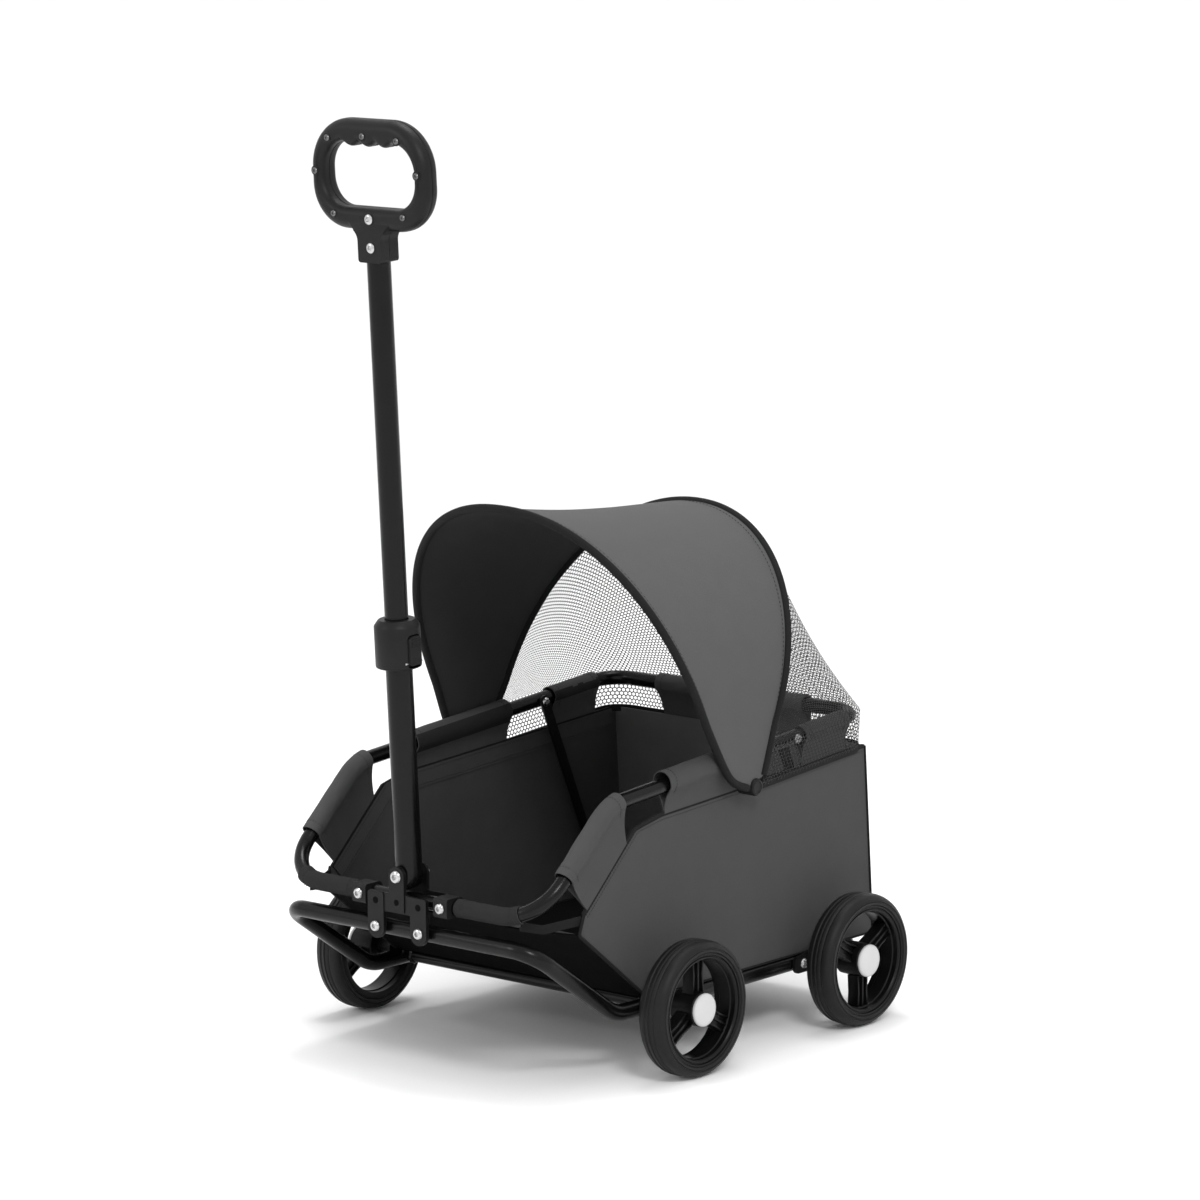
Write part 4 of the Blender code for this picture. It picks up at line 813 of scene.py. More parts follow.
# ---- Wheels ----------------------------------------------------------------------------------------------
def build_wheel(end, side, sign, spoke_angle):
    """Rim with three ribbed paddle spokes, tyre and hub cap; its own +Z points away from the stroller."""
    where = f"{end}_{side}"
    y = HALF_WHEELBASE if end == "rear" else -HALF_WHEELBASE
    at = Matrix.Translation((sign * WHEEL_X, y, WHEEL_RADIUS)) @ Matrix.Rotation(sign * math.pi / 2, 4, "Y")
    half, seat = WHEEL_WIDTH / 2, WHEEL_RADIUS - TYRE_WALL
    inside = seat - RIM_WALL
    bm = new()
    face = half - 0.0022
    lathe(bm, [(inside, -face), (inside + 0.0014, -face - 0.0006), (seat, -face - 0.0006),
               (seat, face + 0.0006),
               (seat - 0.0016, face + 0.0006), (seat - 0.0022, face - 0.0008), (seat - 0.0030, face - 0.0008),
               (seat - 0.0036, face + 0.0002), (inside + 0.0010, face - 0.0002), (inside, face - 0.0014),
               (inside, 0.0072), (inside - 0.0011, 0.0062), (inside - 0.0011, -0.0062), (inside, -0.0072)],
          96, at)
    lathe(bm, [(AXLE_RADIUS + 0.0004, -half), (HUB_RADIUS - 0.0012, -half),
               (HUB_RADIUS - 0.0004, -half + 0.0008),
               (HUB_RADIUS, -0.006), (HUB_RADIUS, 0.006), (HUB_RADIUS - 0.0002, half - 0.0043),
               (HUB_RADIUS - 0.0010, half - 0.0035), (AXLE_RADIUS + 0.0004, half - 0.0035)], 56, at)
    for i in range(3):
        spin = at @ Matrix.Rotation(spoke_angle + 2 * math.pi * i / 3, 4, "Z")
        low, mid, high = HUB_RADIUS - 0.0015, (HUB_RADIUS + inside) / 2, inside + 0.0004
        web = [(low, -0.0084), (mid, -0.0068), (high, -0.0082), (high, 0.0082), (mid, 0.0068), (low, 0.0084)]
        block(bm, web, -0.0040, 0.0040, "Z", 0.0005, 2, spin)
        for off in (0.0, -0.0074, 0.0074):
            rib = [(low, off - 0.0010), (mid, off * 0.82 - 0.0009), (high, off - 0.0010),
                   (high, off + 0.0010), (mid, off * 0.82 + 0.0009), (low, off + 0.0010)]
            block(bm, rib, -0.0060, 0.0066, "Z", 0.0006, 2, spin)
    piece(f"wheel_centre_{where}", bm, "wheel_plastic", f"wheel_{where}",
          [f"wheel_rim_{where}"])
    bm = new()
    section = [(seat + 0.0002, half - 0.0016), (seat + 0.0012, half - 0.0004), (seat + 0.0030, half - 0.0002),
               (seat + 0.0036, half - 0.0010), (seat + 0.0044, half - 0.0010), (seat + 0.0050, half - 0.0003),
               (seat + 0.0072, half - 0.0012), (seat + 0.0096, half - 0.0036),
               (WHEEL_RADIUS - 0.0009, half - 0.0062)]
    for groove in (0.0052, 0.0, -0.0052):
        section += [(WHEEL_RADIUS - 0.0002 - abs(groove) * 0.04, groove + 0.0014),
                    (WHEEL_RADIUS - 0.0012, groove + 0.0006), (WHEEL_RADIUS - 0.0012, groove - 0.0006),
                    (WHEEL_RADIUS - 0.0002 - abs(groove) * 0.04, groove - 0.0014)]
    section += [(r, -h) for r, h in reversed(section[:9])]
    lathe(bm, section, 112, at)
    piece(f"tyre_tread_{where}", bm, "tyre_rubber", f"wheel_{where}", [f"tyre_{where}"], 40)
    bm = new()
    base = half - 0.0032
    dome = [(0, base), (CAP_RADIUS - 0.0004, base), (CAP_RADIUS, base + 0.0006), (CAP_RADIUS, base + 0.0020)]
    dome += [(CAP_RADIUS * math.cos(a) ** 0.6, base + 0.0020 + 0.0028 * math.sin(a)) for a in
             (math.radians(d) for d in (20, 40, 60, 75))] + [(0, base + 0.0048)]
    lathe(bm, dome, 48, at)
    piece(f"wheel_cap_{where}", bm, "light_cap", f"wheel_{where}", [f"hub_cap_{where}"], 50)


# ---- Rim and stays ---------------------------------------------------------------------------------------
def build_rim():
    half = rim_path()
    front = [p for p in half if p.y <= RIM_SPLIT + 1e-6]
    front.append(Vector((RIM_X, RIM_SPLIT - 0.0001, rim_height(RIM_SPLIT))))
    bm = new()
    tube(bm, mirrored(front), RIM_RADIUS)
    piece("rim_front", bm, "painted_tube", "frame", ["rim_tube_front"])
    rear = [Vector((RIM_X, RIM_SPLIT + 0.0001, rim_height(RIM_SPLIT)))] + [p for p in half if p.y > 0]
    bm = new()
    tube(bm, mirrored(rear[::-1]), RIM_RADIUS)
    piece("rim_rear", bm, "painted_tube", "frame", ["rim_tube_rear"])


def build_stay(side, sign):
    outer, thick = RIM_X - RIM_RADIUS - 0.0003, 0.0030
    top = Vector((STAY_TOP, rim_height(STAY_TOP)))
    foot = Vector((STAY_FOOT, BOARD_Z))
    along = (foot - top).normalized()
    across = Vector((-along.y, along.x)) * 0.0055
    if across.x < 0:
        across = -across
    start = top - along * 0.006
    level = Vector((across.length / abs(along.y), 0))
    ends = (start - across, start + across, foot + level, foot - level)
    outline = rounded([tuple(p) for p in ends], [0.0054, 0.0054, 0, 0])
    low, high = sorted((sign * outer, sign * (outer - thick)))
    bm = new()
    block(bm, outline, low, high, "X", 0.0011, 4)
    piece(f"side_stay_{side}", bm, "painted_plate", "frame", [f"stay_{side}"])
    bm = new()
    screw(bm, facing((sign * (outer - thick), top.x, top.y - 0.0006), (-sign, 0, 0)), 0.0046, 0.0026)
    screw(bm, facing((sign * (RIM_X + RIM_RADIUS - 0.0004), top.x + 0.006, top.y + 0.0005), (sign, 0, 0)),
          0.0048, 0.0028)
    piece(f"stay_bolts_{side}", bm, "bolt_steel", "frame")


# ---- Bracket ---------------------------------------------------------------------------------------------
def build_bracket():
    half = LEG_WIDTH / 2
    left, right, tab, step = LEG_X - half, LEG_X + half, 0.0095, LEG_TOP - 0.018
    corners = [(-right, LEG_LOW), (-left, LEG_LOW), (-left, step), (left, step), (left, LEG_LOW),
               (right, LEG_LOW), (right, LEG_TOP), (tab, LEG_TOP), (tab, POLE_BOLT.z + tab),
               (-tab, POLE_BOLT.z + tab),
               (-tab, LEG_TOP), (-right, LEG_TOP)]
    radii = [half * 0.98, half * 0.98, 0.002, 0.002, half * 0.98, half * 0.98, 0.002, 0.001, tab * 0.98,
             tab * 0.98, 0.001, 0.002]
    back = [(-right, BACK_LOW), (right, BACK_LOW)] + corners[6:]
    back_radii = [0.003, 0.003] + [0.003, 0.001, tab * 0.98, tab * 0.98, 0.001, 0.003]
    for name, outline, node, low in (
            ("front", rounded(corners, radii), "bracket_plate_front", POLE_BOLT.y - BRACKET_GAP - PLATE),
            ("back", rounded(back, back_radii), "bracket_plate_back", POLE_BOLT.y + BRACKET_GAP)):
        bm = new()
        block(bm, outline, low, low + PLATE, "Y", 0.0007)
        if name == "front":
            for way in (-1, 1):
                x = way * LEG_X
                leg = rounded([(x - half, LEG_LOW), (x + half, LEG_LOW), (x + half, LEG_TOP),
                               (x - half, LEG_TOP)], [half * 0.98, half * 0.98, 0.003, 0.003])
                block(bm, leg, low - 0.0009, low + 0.0004, "Y", 0.0006)
            neck = rounded([(-tab, step + 0.001), (tab, step + 0.001), (tab, POLE_BOLT.z + tab),
                            (-tab, POLE_BOLT.z + tab)], [0.002, 0.002, tab * 0.98, tab * 0.98])
            block(bm, neck, low - 0.0012, low + 0.0004, "Y", 0.0006)
        piece(f"pole_bracket_{name}", bm, "painted_plate", "frame", [node])
    front = POLE_BOLT.y - BRACKET_GAP - PLATE - 0.0009
    bm = new()
    # Thin near-black discs on the front plate where its spare holes are: painted shade in place of cut holes.
    for x, z, r in ((0, 0.1679, 0.0030), (-LEG_X, 0.1667, 0.0033), (LEG_X, 0.1667, 0.0033)):
        ahead = 0.0003 if not x else 0.0
        lathe(bm, [(0, ahead), (r, ahead), (r, 0.00012 + ahead), (r - 0.0003, 0.00016 + ahead),
                   (0, 0.00016 + ahead)], 32, facing((x, front, z), (0, -1, 0)))
    piece("bracket_hole_painted_shade", bm, "hole_black", "frame")
    bm = new()
    screw(bm, facing((0, front - 0.0001, POLE_BOLT.z), (0, -1, 0)), 0.0060, 0.0032, "hex", 0.7)
    at = facing((0, POLE_BOLT.y + BRACKET_GAP + PLATE, POLE_BOLT.z), (0, 1, 0))
    lathe(bm, [(0, 0), (0.0068, 0), (0.0068, 0.0038), (0.0060, 0.0044), (0, 0.0044)], 6, at)
    lathe(bm, [(0, -0.034), (0.0039, -0.034), (0.0039, 0.0052), (0, 0.0052)], 24, at)
    piece("pole_bolt_and_nut", bm, "bolt_steel", "frame", ["pole_bolt"])
    bm = new()
    for sign in (-1, 1):
        screw(bm, facing((sign * 0.0271, front, 0.1420), (0, -1, 0)), 0.0052, 0.0030)
    piece("bumper_bolts", bm, "bolt_steel", "frame")
    for side, sign in SIDES:
        wall, nose, tail = 0.0094, RIM_FRONT - 0.0135, RIM_FRONT + 0.0105
        outline = rounded([(nose, RIM_FRONT_Z - wall), (tail, RIM_FRONT_Z - wall),
                           (tail, RIM_FRONT_Z + wall), (nose, RIM_FRONT_Z + wall)],
                          [0.003, 0.006, 0.006, 0.003])
        low, high = sorted((sign * (CLAMP_X - CLAMP_WIDTH / 2), sign * (CLAMP_X + CLAMP_WIDTH / 2)))
        bm = new()
        block(bm, outline, low, high, "X", 0.0010)
        piece(f"bar_clamp_{side}", bm, "black_plastic", "frame", [f"rim_clamp_{side}"])
        bm = new()
        screw(bm, facing((sign * CLAMP_X, nose, RIM_FRONT_Z), (0, -1, 0)), 0.0052, 0.0030)
        piece(f"clamp_bolt_{side}", bm, "bolt_steel", "frame")


# ---- Pole ------------------------------------------------------------------------------------------------
def on_pole():
    return Matrix.Translation(POLE_BOLT) @ Matrix.Rotation(POLE_LEAN, 4, "X")


def build_pole():
    at = on_pole()
    bm = new()
    bore = LOWER_TUBE - 0.0011
    lathe(bm, [(bore, 0.0), (LOWER_TUBE, 0.0), (LOWER_TUBE, LOWER_TOP), (bore, LOWER_TOP)], 40, at)
    steps = 12
    rows = []
    for k in range(steps + 1):
        drop = math.pi / 2 * k / steps
        z, reach = -0.0137 * math.sin(drop), math.cos(drop)
        rows.append([at @ Vector((LOWER_TUBE * math.cos(a) * reach, LOWER_TUBE * math.sin(a), z))
                     for a in (2 * math.pi * i / 40 for i in range(41))])
    surface(bm, rows)
    bmesh.ops.remove_doubles(bm, verts=bm.verts, dist=1e-6)
    piece("pole_lower", bm, "painted_tube", "pole", ["lower_tube"], 40)

    bm = new()
    lathe(bm, [(LOWER_TUBE + 0.0003, COLLAR_LOW), (COLLAR_RADIUS - 0.0014, COLLAR_LOW),
               (COLLAR_RADIUS - 0.0004, COLLAR_LOW + 0.0006), (COLLAR_RADIUS, COLLAR_LOW + 0.0018),
               (COLLAR_RADIUS, COLLAR_TOP - 0.0062), (COLLAR_RADIUS - 0.0004, COLLAR_TOP - 0.0052),
               (COLLAR_RADIUS - 0.0038, COLLAR_TOP - 0.0006), (COLLAR_RADIUS - 0.0046, COLLAR_TOP),
               (UPPER_TUBE + 0.0004, COLLAR_TOP), (UPPER_TUBE + 0.0004, LOWER_TOP + 0.0003),
               (LOWER_TUBE + 0.0003, LOWER_TOP + 0.0003)], 72, at)
    collar = piece("pole_collar", bm, "black_plastic", "pole", ["collar"], 40)
    pin_x, pin_z, width = COLLAR_RADIUS - 0.0026, COLLAR_LOW + 0.0060, 0.0150
    bm = new()
    block(bm, rounded([(-width / 2 - 0.0005, pin_z - 0.0047), (width / 2 + 0.0005, pin_z - 0.0047),
                       (width / 2 + 0.0005, pin_z + 0.0264), (-width / 2 - 0.0005, pin_z + 0.0264)],
                      [0.0024, 0.0024, 0.0042, 0.0042]), pin_x - 0.0042, COLLAR_RADIUS + 0.01, "X", matrix=at)
    pocket = bpy.data.meshes.new("pocket")
    bm.to_mesh(pocket)
    bm.free()
    pocket.transform(PLACE)
    tool = bpy.data.objects.new("pocket", pocket)
    bpy.context.collection.objects.link(tool)
    cut = collar.modifiers.new("pocket", "BOOLEAN")
    cut.operation, cut.object, cut.solver = "DIFFERENCE", tool, "EXACT"
    final = bpy.data.meshes.new_from_object(collar.evaluated_get(bpy.context.evaluated_depsgraph_get()))
    collar.modifiers.clear()
    collar.data = final
    final.set_sharp_from_angle(angle=math.radians(32))
    bpy.data.objects.remove(tool)

    bm = new()
    outline = rounded([(-width / 2, pin_z - 0.0023), (width / 2, pin_z - 0.0023), (width / 2, pin_z + 0.0250),
                       (-width / 2, pin_z + 0.0250)], [0.0022, 0.0022, 0.0040, 0.0040])
    block(bm, outline, pin_x - 0.0026, COLLAR_RADIUS + 0.0010, "X", 0.0010, 3, at)
    for k in range(3):
        z = pin_z + 0.0150 + 0.0030 * k
        ridge = rounded([(-0.0046, z), (0.0046, z), (0.0046, z + 0.0012), (-0.0046, z + 0.0012)],
                        [0.0005] * 4)
        block(bm, ridge, COLLAR_RADIUS + 0.0005, COLLAR_RADIUS + 0.0015, "X", 0.0003, 2, at)
    piece("latch_paddle", bm, "black_plastic", "latch", ["latch_lever"])
    bm = new()
    lathe(bm, [(0, -0.0109), (0.0010, -0.0109), (0.0011, -0.0106), (0.0011, 0.0106), (0.0010, 0.0109),
               (0, 0.0109)], 16, at @ facing((pin_x, 0, pin_z), (0, 1, 0)))
    piece("latch_pivot", bm, "bolt_steel", "pole", ["latch_pin"])

    bm = new()
    lathe(bm, [(UPPER_TUBE - 0.0011, UPPER_LOW), (UPPER_TUBE, UPPER_LOW), (UPPER_TUBE, UPPER_TOP - 0.002),
               (UPPER_TUBE - 0.0011, UPPER_TOP - 0.002)], 40, at)
    piece("pole_upper", bm, "painted_tube", "pole_top", ["upper_tube"])


def grip_outlines(count=144):
    """Outer and inner edge of the grip's loop, point for point, as (x, height along the pole)."""
    half_w, half_h = GRIP_WIDTH / 2, GRIP_HEIGHT / 2
    low, high = GRIP_MIDDLE - half_h, GRIP_MIDDLE + half_h
    outer = rounded([(0, low), (half_w, low), (half_w, high), (0, high), (-half_w, high), (-half_w, low)],
                    [0, 0.040, 0.046, 0, 0.046, 0.040], 3)
    in_w, in_low, in_high = half_w - GRIP_LIMB, low + GRIP_BAR, high - GRIP_BAR
    inner = rounded([(0, in_low), (in_w, in_low), (in_w, in_high), (0, in_high), (-in_w, in_high),
                     (-in_w, in_low)], [0, 0.026, 0.027, 0, 0.027, 0.026], 3)
    reach = 1.5 * FINGER_PITCH

    def ring(points, dips):
        """The outline again in evenly spaced points, with finger dips in the middle of its top when dips is
        set.
        """
        closed = [Vector((*p, 0)) for p in points] + [Vector((*points[0], 0))]
        even = evenly(closed, count + 1)[:-1]
        if not dips:
            return [(p.x, p.y) for p in even]
        shaped = []
        for p in even:
            z = p.y
            if p.y > GRIP_MIDDLE and abs(p.x) < reach:
                z = p.y - 0.0050 * abs(math.cos(math.pi * p.x / FINGER_PITCH)) ** 1.3 + 0.0005
            shaped.append((p.x, z))
        return shaped
    return ring(outer, False), ring(inner, True)


def build_grip():
    """Two moulded shells round the top of the pole: a closed loop on a short neck, with its screws."""
    at = on_pole()
    outer, inner = grip_outlines()
    deep, outer_round, inner_round = GRIP_DEPTH / 2, 0.0102, 0.0076
    for name, sign in (("front", -1), ("back", 1)):
        bm = new()
        rows = []
        for o, n in zip(outer, inner):
            a, b = Vector((o[0], 0, o[1])), Vector((n[0], 0, n[1]))
            way = (b - a).normalized()
            ring = [a + Vector((0, sign * 0.0002, 0)) + way * 0.0006, a + Vector((0, sign * 0.0008, 0))]
            for start, turn, r in ((a, 1, outer_round), (b, -1, inner_round)):
                for k in range(9):
                    t = math.pi / 2 * (k if turn > 0 else 8 - k) / 8
                    level = sign * (deep - r + r * math.sin(t))
                    ring.append(start + way * turn * r * (1 - math.cos(t)) + Vector((0, level, 0)))
            ring += [b + Vector((0, sign * 0.0008, 0)), b + Vector((0, sign * 0.0002, 0)) - way * 0.0006]
            rows.append([bm.verts.new(at @ p) for p in ring])
        for first, second in zip(rows, rows[1:] + rows[:1]):
            for i in range(len(first)):
                j = (i + 1) % len(first)
                bm.faces.new((first[i], first[j], second[j], second[i]))
        low = GRIP_MIDDLE - GRIP_HEIGHT / 2
        neck = rounded([(-0.030, low + 0.009), (-0.0140, low - 0.004), (-0.0140, GRIP_NECK),
                        (0.0140, GRIP_NECK), (0.0140, low - 0.004), (0.030, low + 0.009)],
                       [0, 0.012, 0.003, 0.003, 0.012, 0])
        a, b = sorted((sign * 0.0002, sign * deep))
        block(bm, neck, a, b, "Y", 0.0044, 6, at)
        piece(f"grip_shell_{name}", bm, "black_plastic", "pole_top",
              [f"grip_{name}_shell"], 40)
    bm, small, wells = new(), new(), new()
    for x, s, r in ((-0.0458, 0.6871, 0.0030), (-0.0021, 0.6902, 0.0030), (0.0397, 0.6878, 0.0030),
                    (-0.0630, 0.6562, 0.0030), (0.0623, 0.6576, 0.0030), (-0.0423, 0.6183, 0.0030),
                    (0.0433, 0.6189, 0.0030), (0.0013, 0.6150, 0.0048), (0.0020, 0.5888, 0.0048)):
        spot = at @ facing((x, -deep, s), (0, -1, 0), 40 * x)
        lathe(wells, [(0, -0.0006), (r * 0.96, -0.0006), (r + 0.0002, 0.00004), (r + 0.0008, 0.0003),
                      (r + 0.0014, 0.00002), (r + 0.0014, -0.0006)], 28, spot)
        seat = at @ facing((x, -deep - 0.0001, s), (0, -1, 0), 37 * x)
        if r < 0.004:
            screw(small, seat, r, 0.0012, "cross", 0.9)
        else:
            screw(bm, seat, r, 0.0016, "hex", 0.8)
    piece("grip_screw_wells", wells, "black_plastic", "pole_top")
    piece("grip_screws", bm, "bolt_steel", "pole_top")
    piece("grip_small_screws", small, "screw_steel", "pole_top")


# ---- Fabric body -----------------------------------------------------------------------------------------
def side_outline():
    """The side panel's edge as (y, z) corners, from its low front corner round to its nose."""
    return [(FLOOR_FRONT, FLOOR_Z), (BODY_REAR, FLOOR_Z),
            (BODY_REAR - REAR_LEAN, panel_top(RIM_REAR + 0.007)), (EDGE_SHOULDER, panel_top(EDGE_SHOULDER)),
            EDGE_BEND, (EDGE_NOSE, LOW_CORNER[1] + 0.019), LOW_CORNER]


def ruffle(a, b, seed, scale=9.0):
    return noise.noise(Vector((a * scale, b * scale, seed)))


def build_panels():
    outline = side_outline()
    for side, sign in SIDES:
        def on_side(a, b, edge, sign=sign):
            fade = min(1.0, edge / 0.035)
            pull = ruffle(a, b, 3.1 * sign) * 0.0016 + ruffle(a * 1.9, b * 0.8, 7.7) * 0.0008
            return Vector((sign * (PANEL_X - 0.0002 + pull * fade), a, b))
        bm = new()
        gridded(bm, outline, 0.007, on_side)
        if sign < 0:
            bmesh.ops.reverse_faces(bm, faces=bm.faces)
        panel = piece(f"side_cloth_{side}", bm, ["body_cloth", "inner_cloth"], "frame",
                      [f"side_panel_{side}"], thickness=0.0013, inner=True)
        polygon_area(outline)


def build_rest_of_body():
    inside = PANEL_X - 0.0018
    top = panel_top(RIM_REAR + 0.007)

    def sheet_rows(points, cell, bulge, seed, knee=0.0):
        """A sheet from side to side, along a line of (y, z) points, with a soft belly and small ripples."""
        line = spaced([Vector((0, *p)) for p in points], cell)
        wide = 48
        rows = []
        for r, p in enumerate(line):
            before, after = line[max(r - 1, 0)], line[min(r + 1, len(line) - 1)]
            run = (after - before).normalized()
            normal = Vector((0, -run.z, run.y))
            row = []
            for c in range(wide + 1):
                x = -inside + 2 * inside * c / wide
                share = (1 - (x / inside) ** 2) * math.sin(math.pi * r / (len(line) - 1))
                rise = max(0.0, min(1.0, (p.z - knee) / (line[-1].z - knee))) if knee else 0.0
                row.append(Vector((x * (1 - rise * (1 - FRONT_LIP / inside)), 0, 0)) + p
                           + normal * share * (bulge + 0.0014 * ruffle(x, r * cell, seed, 11)))
            rows.append(row)
        return rows

    length = top - FLOOR_Z
    bm = new()
    line = [(BODY_REAR - 0.0006, FLOOR_Z), (BODY_REAR - REAR_LEAN - 0.0006, top)]
    surface(bm, sheet_rows(line, 0.007, -0.0016, 5.0))
    # The rear wall's cabin side takes the lighter cloth: painted light where the canopy casts shade.
    rear = piece("rear_cloth", bm, ["body_cloth", "rear_painted_light_cloth"], "frame", ["rear_panel"],
                 thickness=0.0013, inner=True)
    line = [(FLOOR_FRONT + 0.001, FLOOR_Z + 0.0004), (LOW_CORNER[0] + 0.001, LOW_CORNER[1] + 0.001),
            (LIP[0], LIP[1] - 0.0005)]
    bm = new()
    surface(bm, sheet_rows(line, 0.006, -0.0020, 9.0, LOW_CORNER[1] + 0.002))
    # The front panel's outer face takes the near-black cloth as painted shade.
    front = piece("front_cloth", bm, ["inner_cloth", "under_cloth"], "frame", ["front_panel"],
                  thickness=0.0014, inner=True)
    reach = sum(math.dist(a, b) for a, b in zip(line, line[1:]))
    bm = new()
    cells = 24
    start, end = FLOOR_FRONT + 0.004, BODY_REAR - 0.0025
    rows = [[Vector((-inside + 2 * inside * c / cells, start + (end - start) * r / cells, FLOOR_Z + 0.0008))
             for c in range(cells + 1)] for r in range(cells + 1)]
    surface(bm, rows)
    # The floor panel is all near-black cloth: painted shade under the body.
    floor = piece("floor_cloth", bm, "under_cloth", "frame", ["floor_panel"],
                  thickness=0.0012, offset=0.0)

    half = RIM_X - RIM_RADIUS - 0.0030 - 0.0009
    outline = rounded([(-half, FLOOR_FRONT + 0.012), (half, FLOOR_FRONT + 0.012), (half, BODY_REAR - 0.012),
                       (-half, BODY_REAR - 0.012)], [0.012] * 4)
    bm = new()
    block(bm, outline, BOARD_Z, BOARD_Z + BOARD - 0.0004, "Z", 0.0018, 4)
    layer = cloth_layer(bm)
    for face in bm.faces:
        for loop in face.loops:
            loop[layer].uv = loop.vert.co.xy
    piece("cabin_mat", bm, "floor_mat", "frame", ["floor_board"])
    bm = new()
    inner_edge = [Vector((a * 0.965, b * 0.955 + 0.0014, BOARD_Z + BOARD)) for a, b in outline]
    sweep(bm, evenly(inner_edge + inner_edge[:1], 140), circle(0.0011, 8), up=(0, 0, 1))
    piece("cabin_mat_piping", bm, "bow_binding", "frame")


def build_trim():
    """Hems, seam lines and piping of the fabric body."""
    outline = side_outline()
    for side, sign in SIDES:
        out = sign * (PANEL_X + 0.0003)

        def at(p, out=out):
            return Vector((out, *p))
        top = [outline[2], outline[3], outline[4], outline[5]]
        bm = new()
        for drop in (0.0030, 0.0060):
            line = []
            for i, p in enumerate(top):
                lower = (p[0] + (0.0 if i < 2 else drop * 0.72), p[1] - drop * (1.0 if i < 2 else 0.72))
                line.append(at(lower))
            line[0].y -= 0.004
            stitches(bm, line, (sign, 0, 0))
        for drop in (0.0035, 0.0170):
            line = [Vector((sign * (PANEL_X - 0.0034), p[0] + (0.0 if i < 2 else drop * 0.72),
                            p[1] - drop * (1.0 if i < 2 else 0.72))) for i, p in enumerate(top)]
            line[0].y -= 0.006
            stitches(bm, line, (-sign, 0, 0))
        piece(f"top_stitching_{side}", bm, "stitching", "frame")
        bm = new()
        ends = [Vector((sign * 0.1330, RIM_FRONT + 0.0065, RIM_FRONT_Z - 0.0085)),
                Vector((sign * 0.1450, RIM_FRONT + 0.0240, RIM_FRONT_Z - 0.0130)),
                Vector((sign * (PANEL_X - 0.0018), LOW_CORNER[0] + 0.0050, LOW_CORNER[1] + 0.0130))]
        sweep(bm, evenly(ends, 12), flat_tape(0.0007, 0.0042), up=(0, 0, 1))
        piece(f"corner_strap_{side}", bm, "bow_binding", "frame")
        bm = new()
        edge = [Vector((sign * (PANEL_X - 0.0012), *p)) for p in top]
        edge[0].y -= 0.002
        binding = [(-0.0013, -0.0030), (0.0013, -0.0030), (0.0013, 0.0008), (-0.0013, 0.0008)]
        sweep(bm, spaced(edge, 0.010), binding, up=(0, 0.35, 1))
        piece(f"top_binding_{side}", bm, "bow_binding", "frame")
        bm = new()
        edge = [at(outline[6]), at(outline[0])]
        sweep(bm, evenly([at(outline[5]), *edge], 40), circle(0.0016, 10), up=(1, 0, 0.1))
        low = [at((y, FLOOR_Z + 0.0004)) for y in (FLOOR_FRONT, BODY_REAR - 0.001)]
        sweep(bm, evenly(low, 40), circle(0.0010, 8), up=(0, 0, 1))
        sweep(bm, evenly([at((BODY_REAR - 0.0006, FLOOR_Z + 0.001)),
                          at((BODY_REAR - REAR_LEAN - 0.0006, outline[2][1] - 0.001))], 30),
              circle(0.0011, 8), up=(1, 0, 0.1))
        piece(f"edge_piping_{side}", bm, "bow_binding", "frame")
        bm = new()
        hem = [Vector((sign * (PANEL_X - 0.0022), *p)) for p in
               [(outline[2][0] - 0.003, outline[2][1] - 0.0105), (outline[3][0], outline[3][1] - 0.0105),
                (outline[4][0] + 0.008, outline[4][1] - 0.0075),
                (outline[5][0] + 0.008, outline[5][1] - 0.0075)]]
        sweep(bm, spaced(hem, 0.010), flat_tape(0.0006, 0.0095), up=(0, 0.35, 1))
        piece(f"inner_hem_{side}", bm, "inner_cloth", "frame")


# ---- Sleeves ---------------------------------------------------------------------------------------------
def sleeve_section(tail, radius, lift):
    """A strip of cloth over the tube whose two ends run together below it: an open line of (side, up) points.
    The loop is a little wider than the tube, and its middle stands above the tube's by lift."""
    half = 0.0009
    start = math.radians(-38)
    knee = radius * math.sin(-start) - lift
    tail = max(tail, knee + 0.0015)
    points = [(half, -tail)]
    for share in (0.75, 0.5, 0.3, 0.15):
        drop = knee + (tail - knee) * share
        points.append((half + (radius * 0.80 - half) * (1 - share) ** 2.2, -drop))
    points += [(radius * math.cos(a), lift + radius * math.sin(a)) for a in
               (start + (math.pi / 2 - start) * i / 12 for i in range(13))]
    return points + [(-x, y) for x, y in reversed(points[:-1])]


def stretch(path, start, end):
    """The part of a path between two distances along it."""
    result, done = [], 0.0
    for a, b in zip(path, path[1:]):
        span = (b - a).length
        for edge in (start, end):
            if done <= edge < done + span:
                result.append(a.lerp(b, (edge - done) / span))
        done += span
        if start + 0.0005 < done < end - 0.0005:
            result.append(b)
    return result


def drop_to_panel(point, vertical):
    """Distance from the rim's centre line, against the vertical, to the edge of the side panel."""
    down = -Vector((vertical.y, vertical.z)).normalized()
    start = Vector((point.y, point.z))
    edge = [Vector(p) for p in side_outline()[2:6]]
    for a, b in zip(edge, edge[1:]):
        span = b - a
        share = (down.x * (start.y - a.y) - down.y * (start.x - a.x)) / (down.x * span.y - down.y * span.x)
        if -0.001 <= share <= 1.001:
            return (a + span * share - start).dot(down)
    return PANEL_DROP


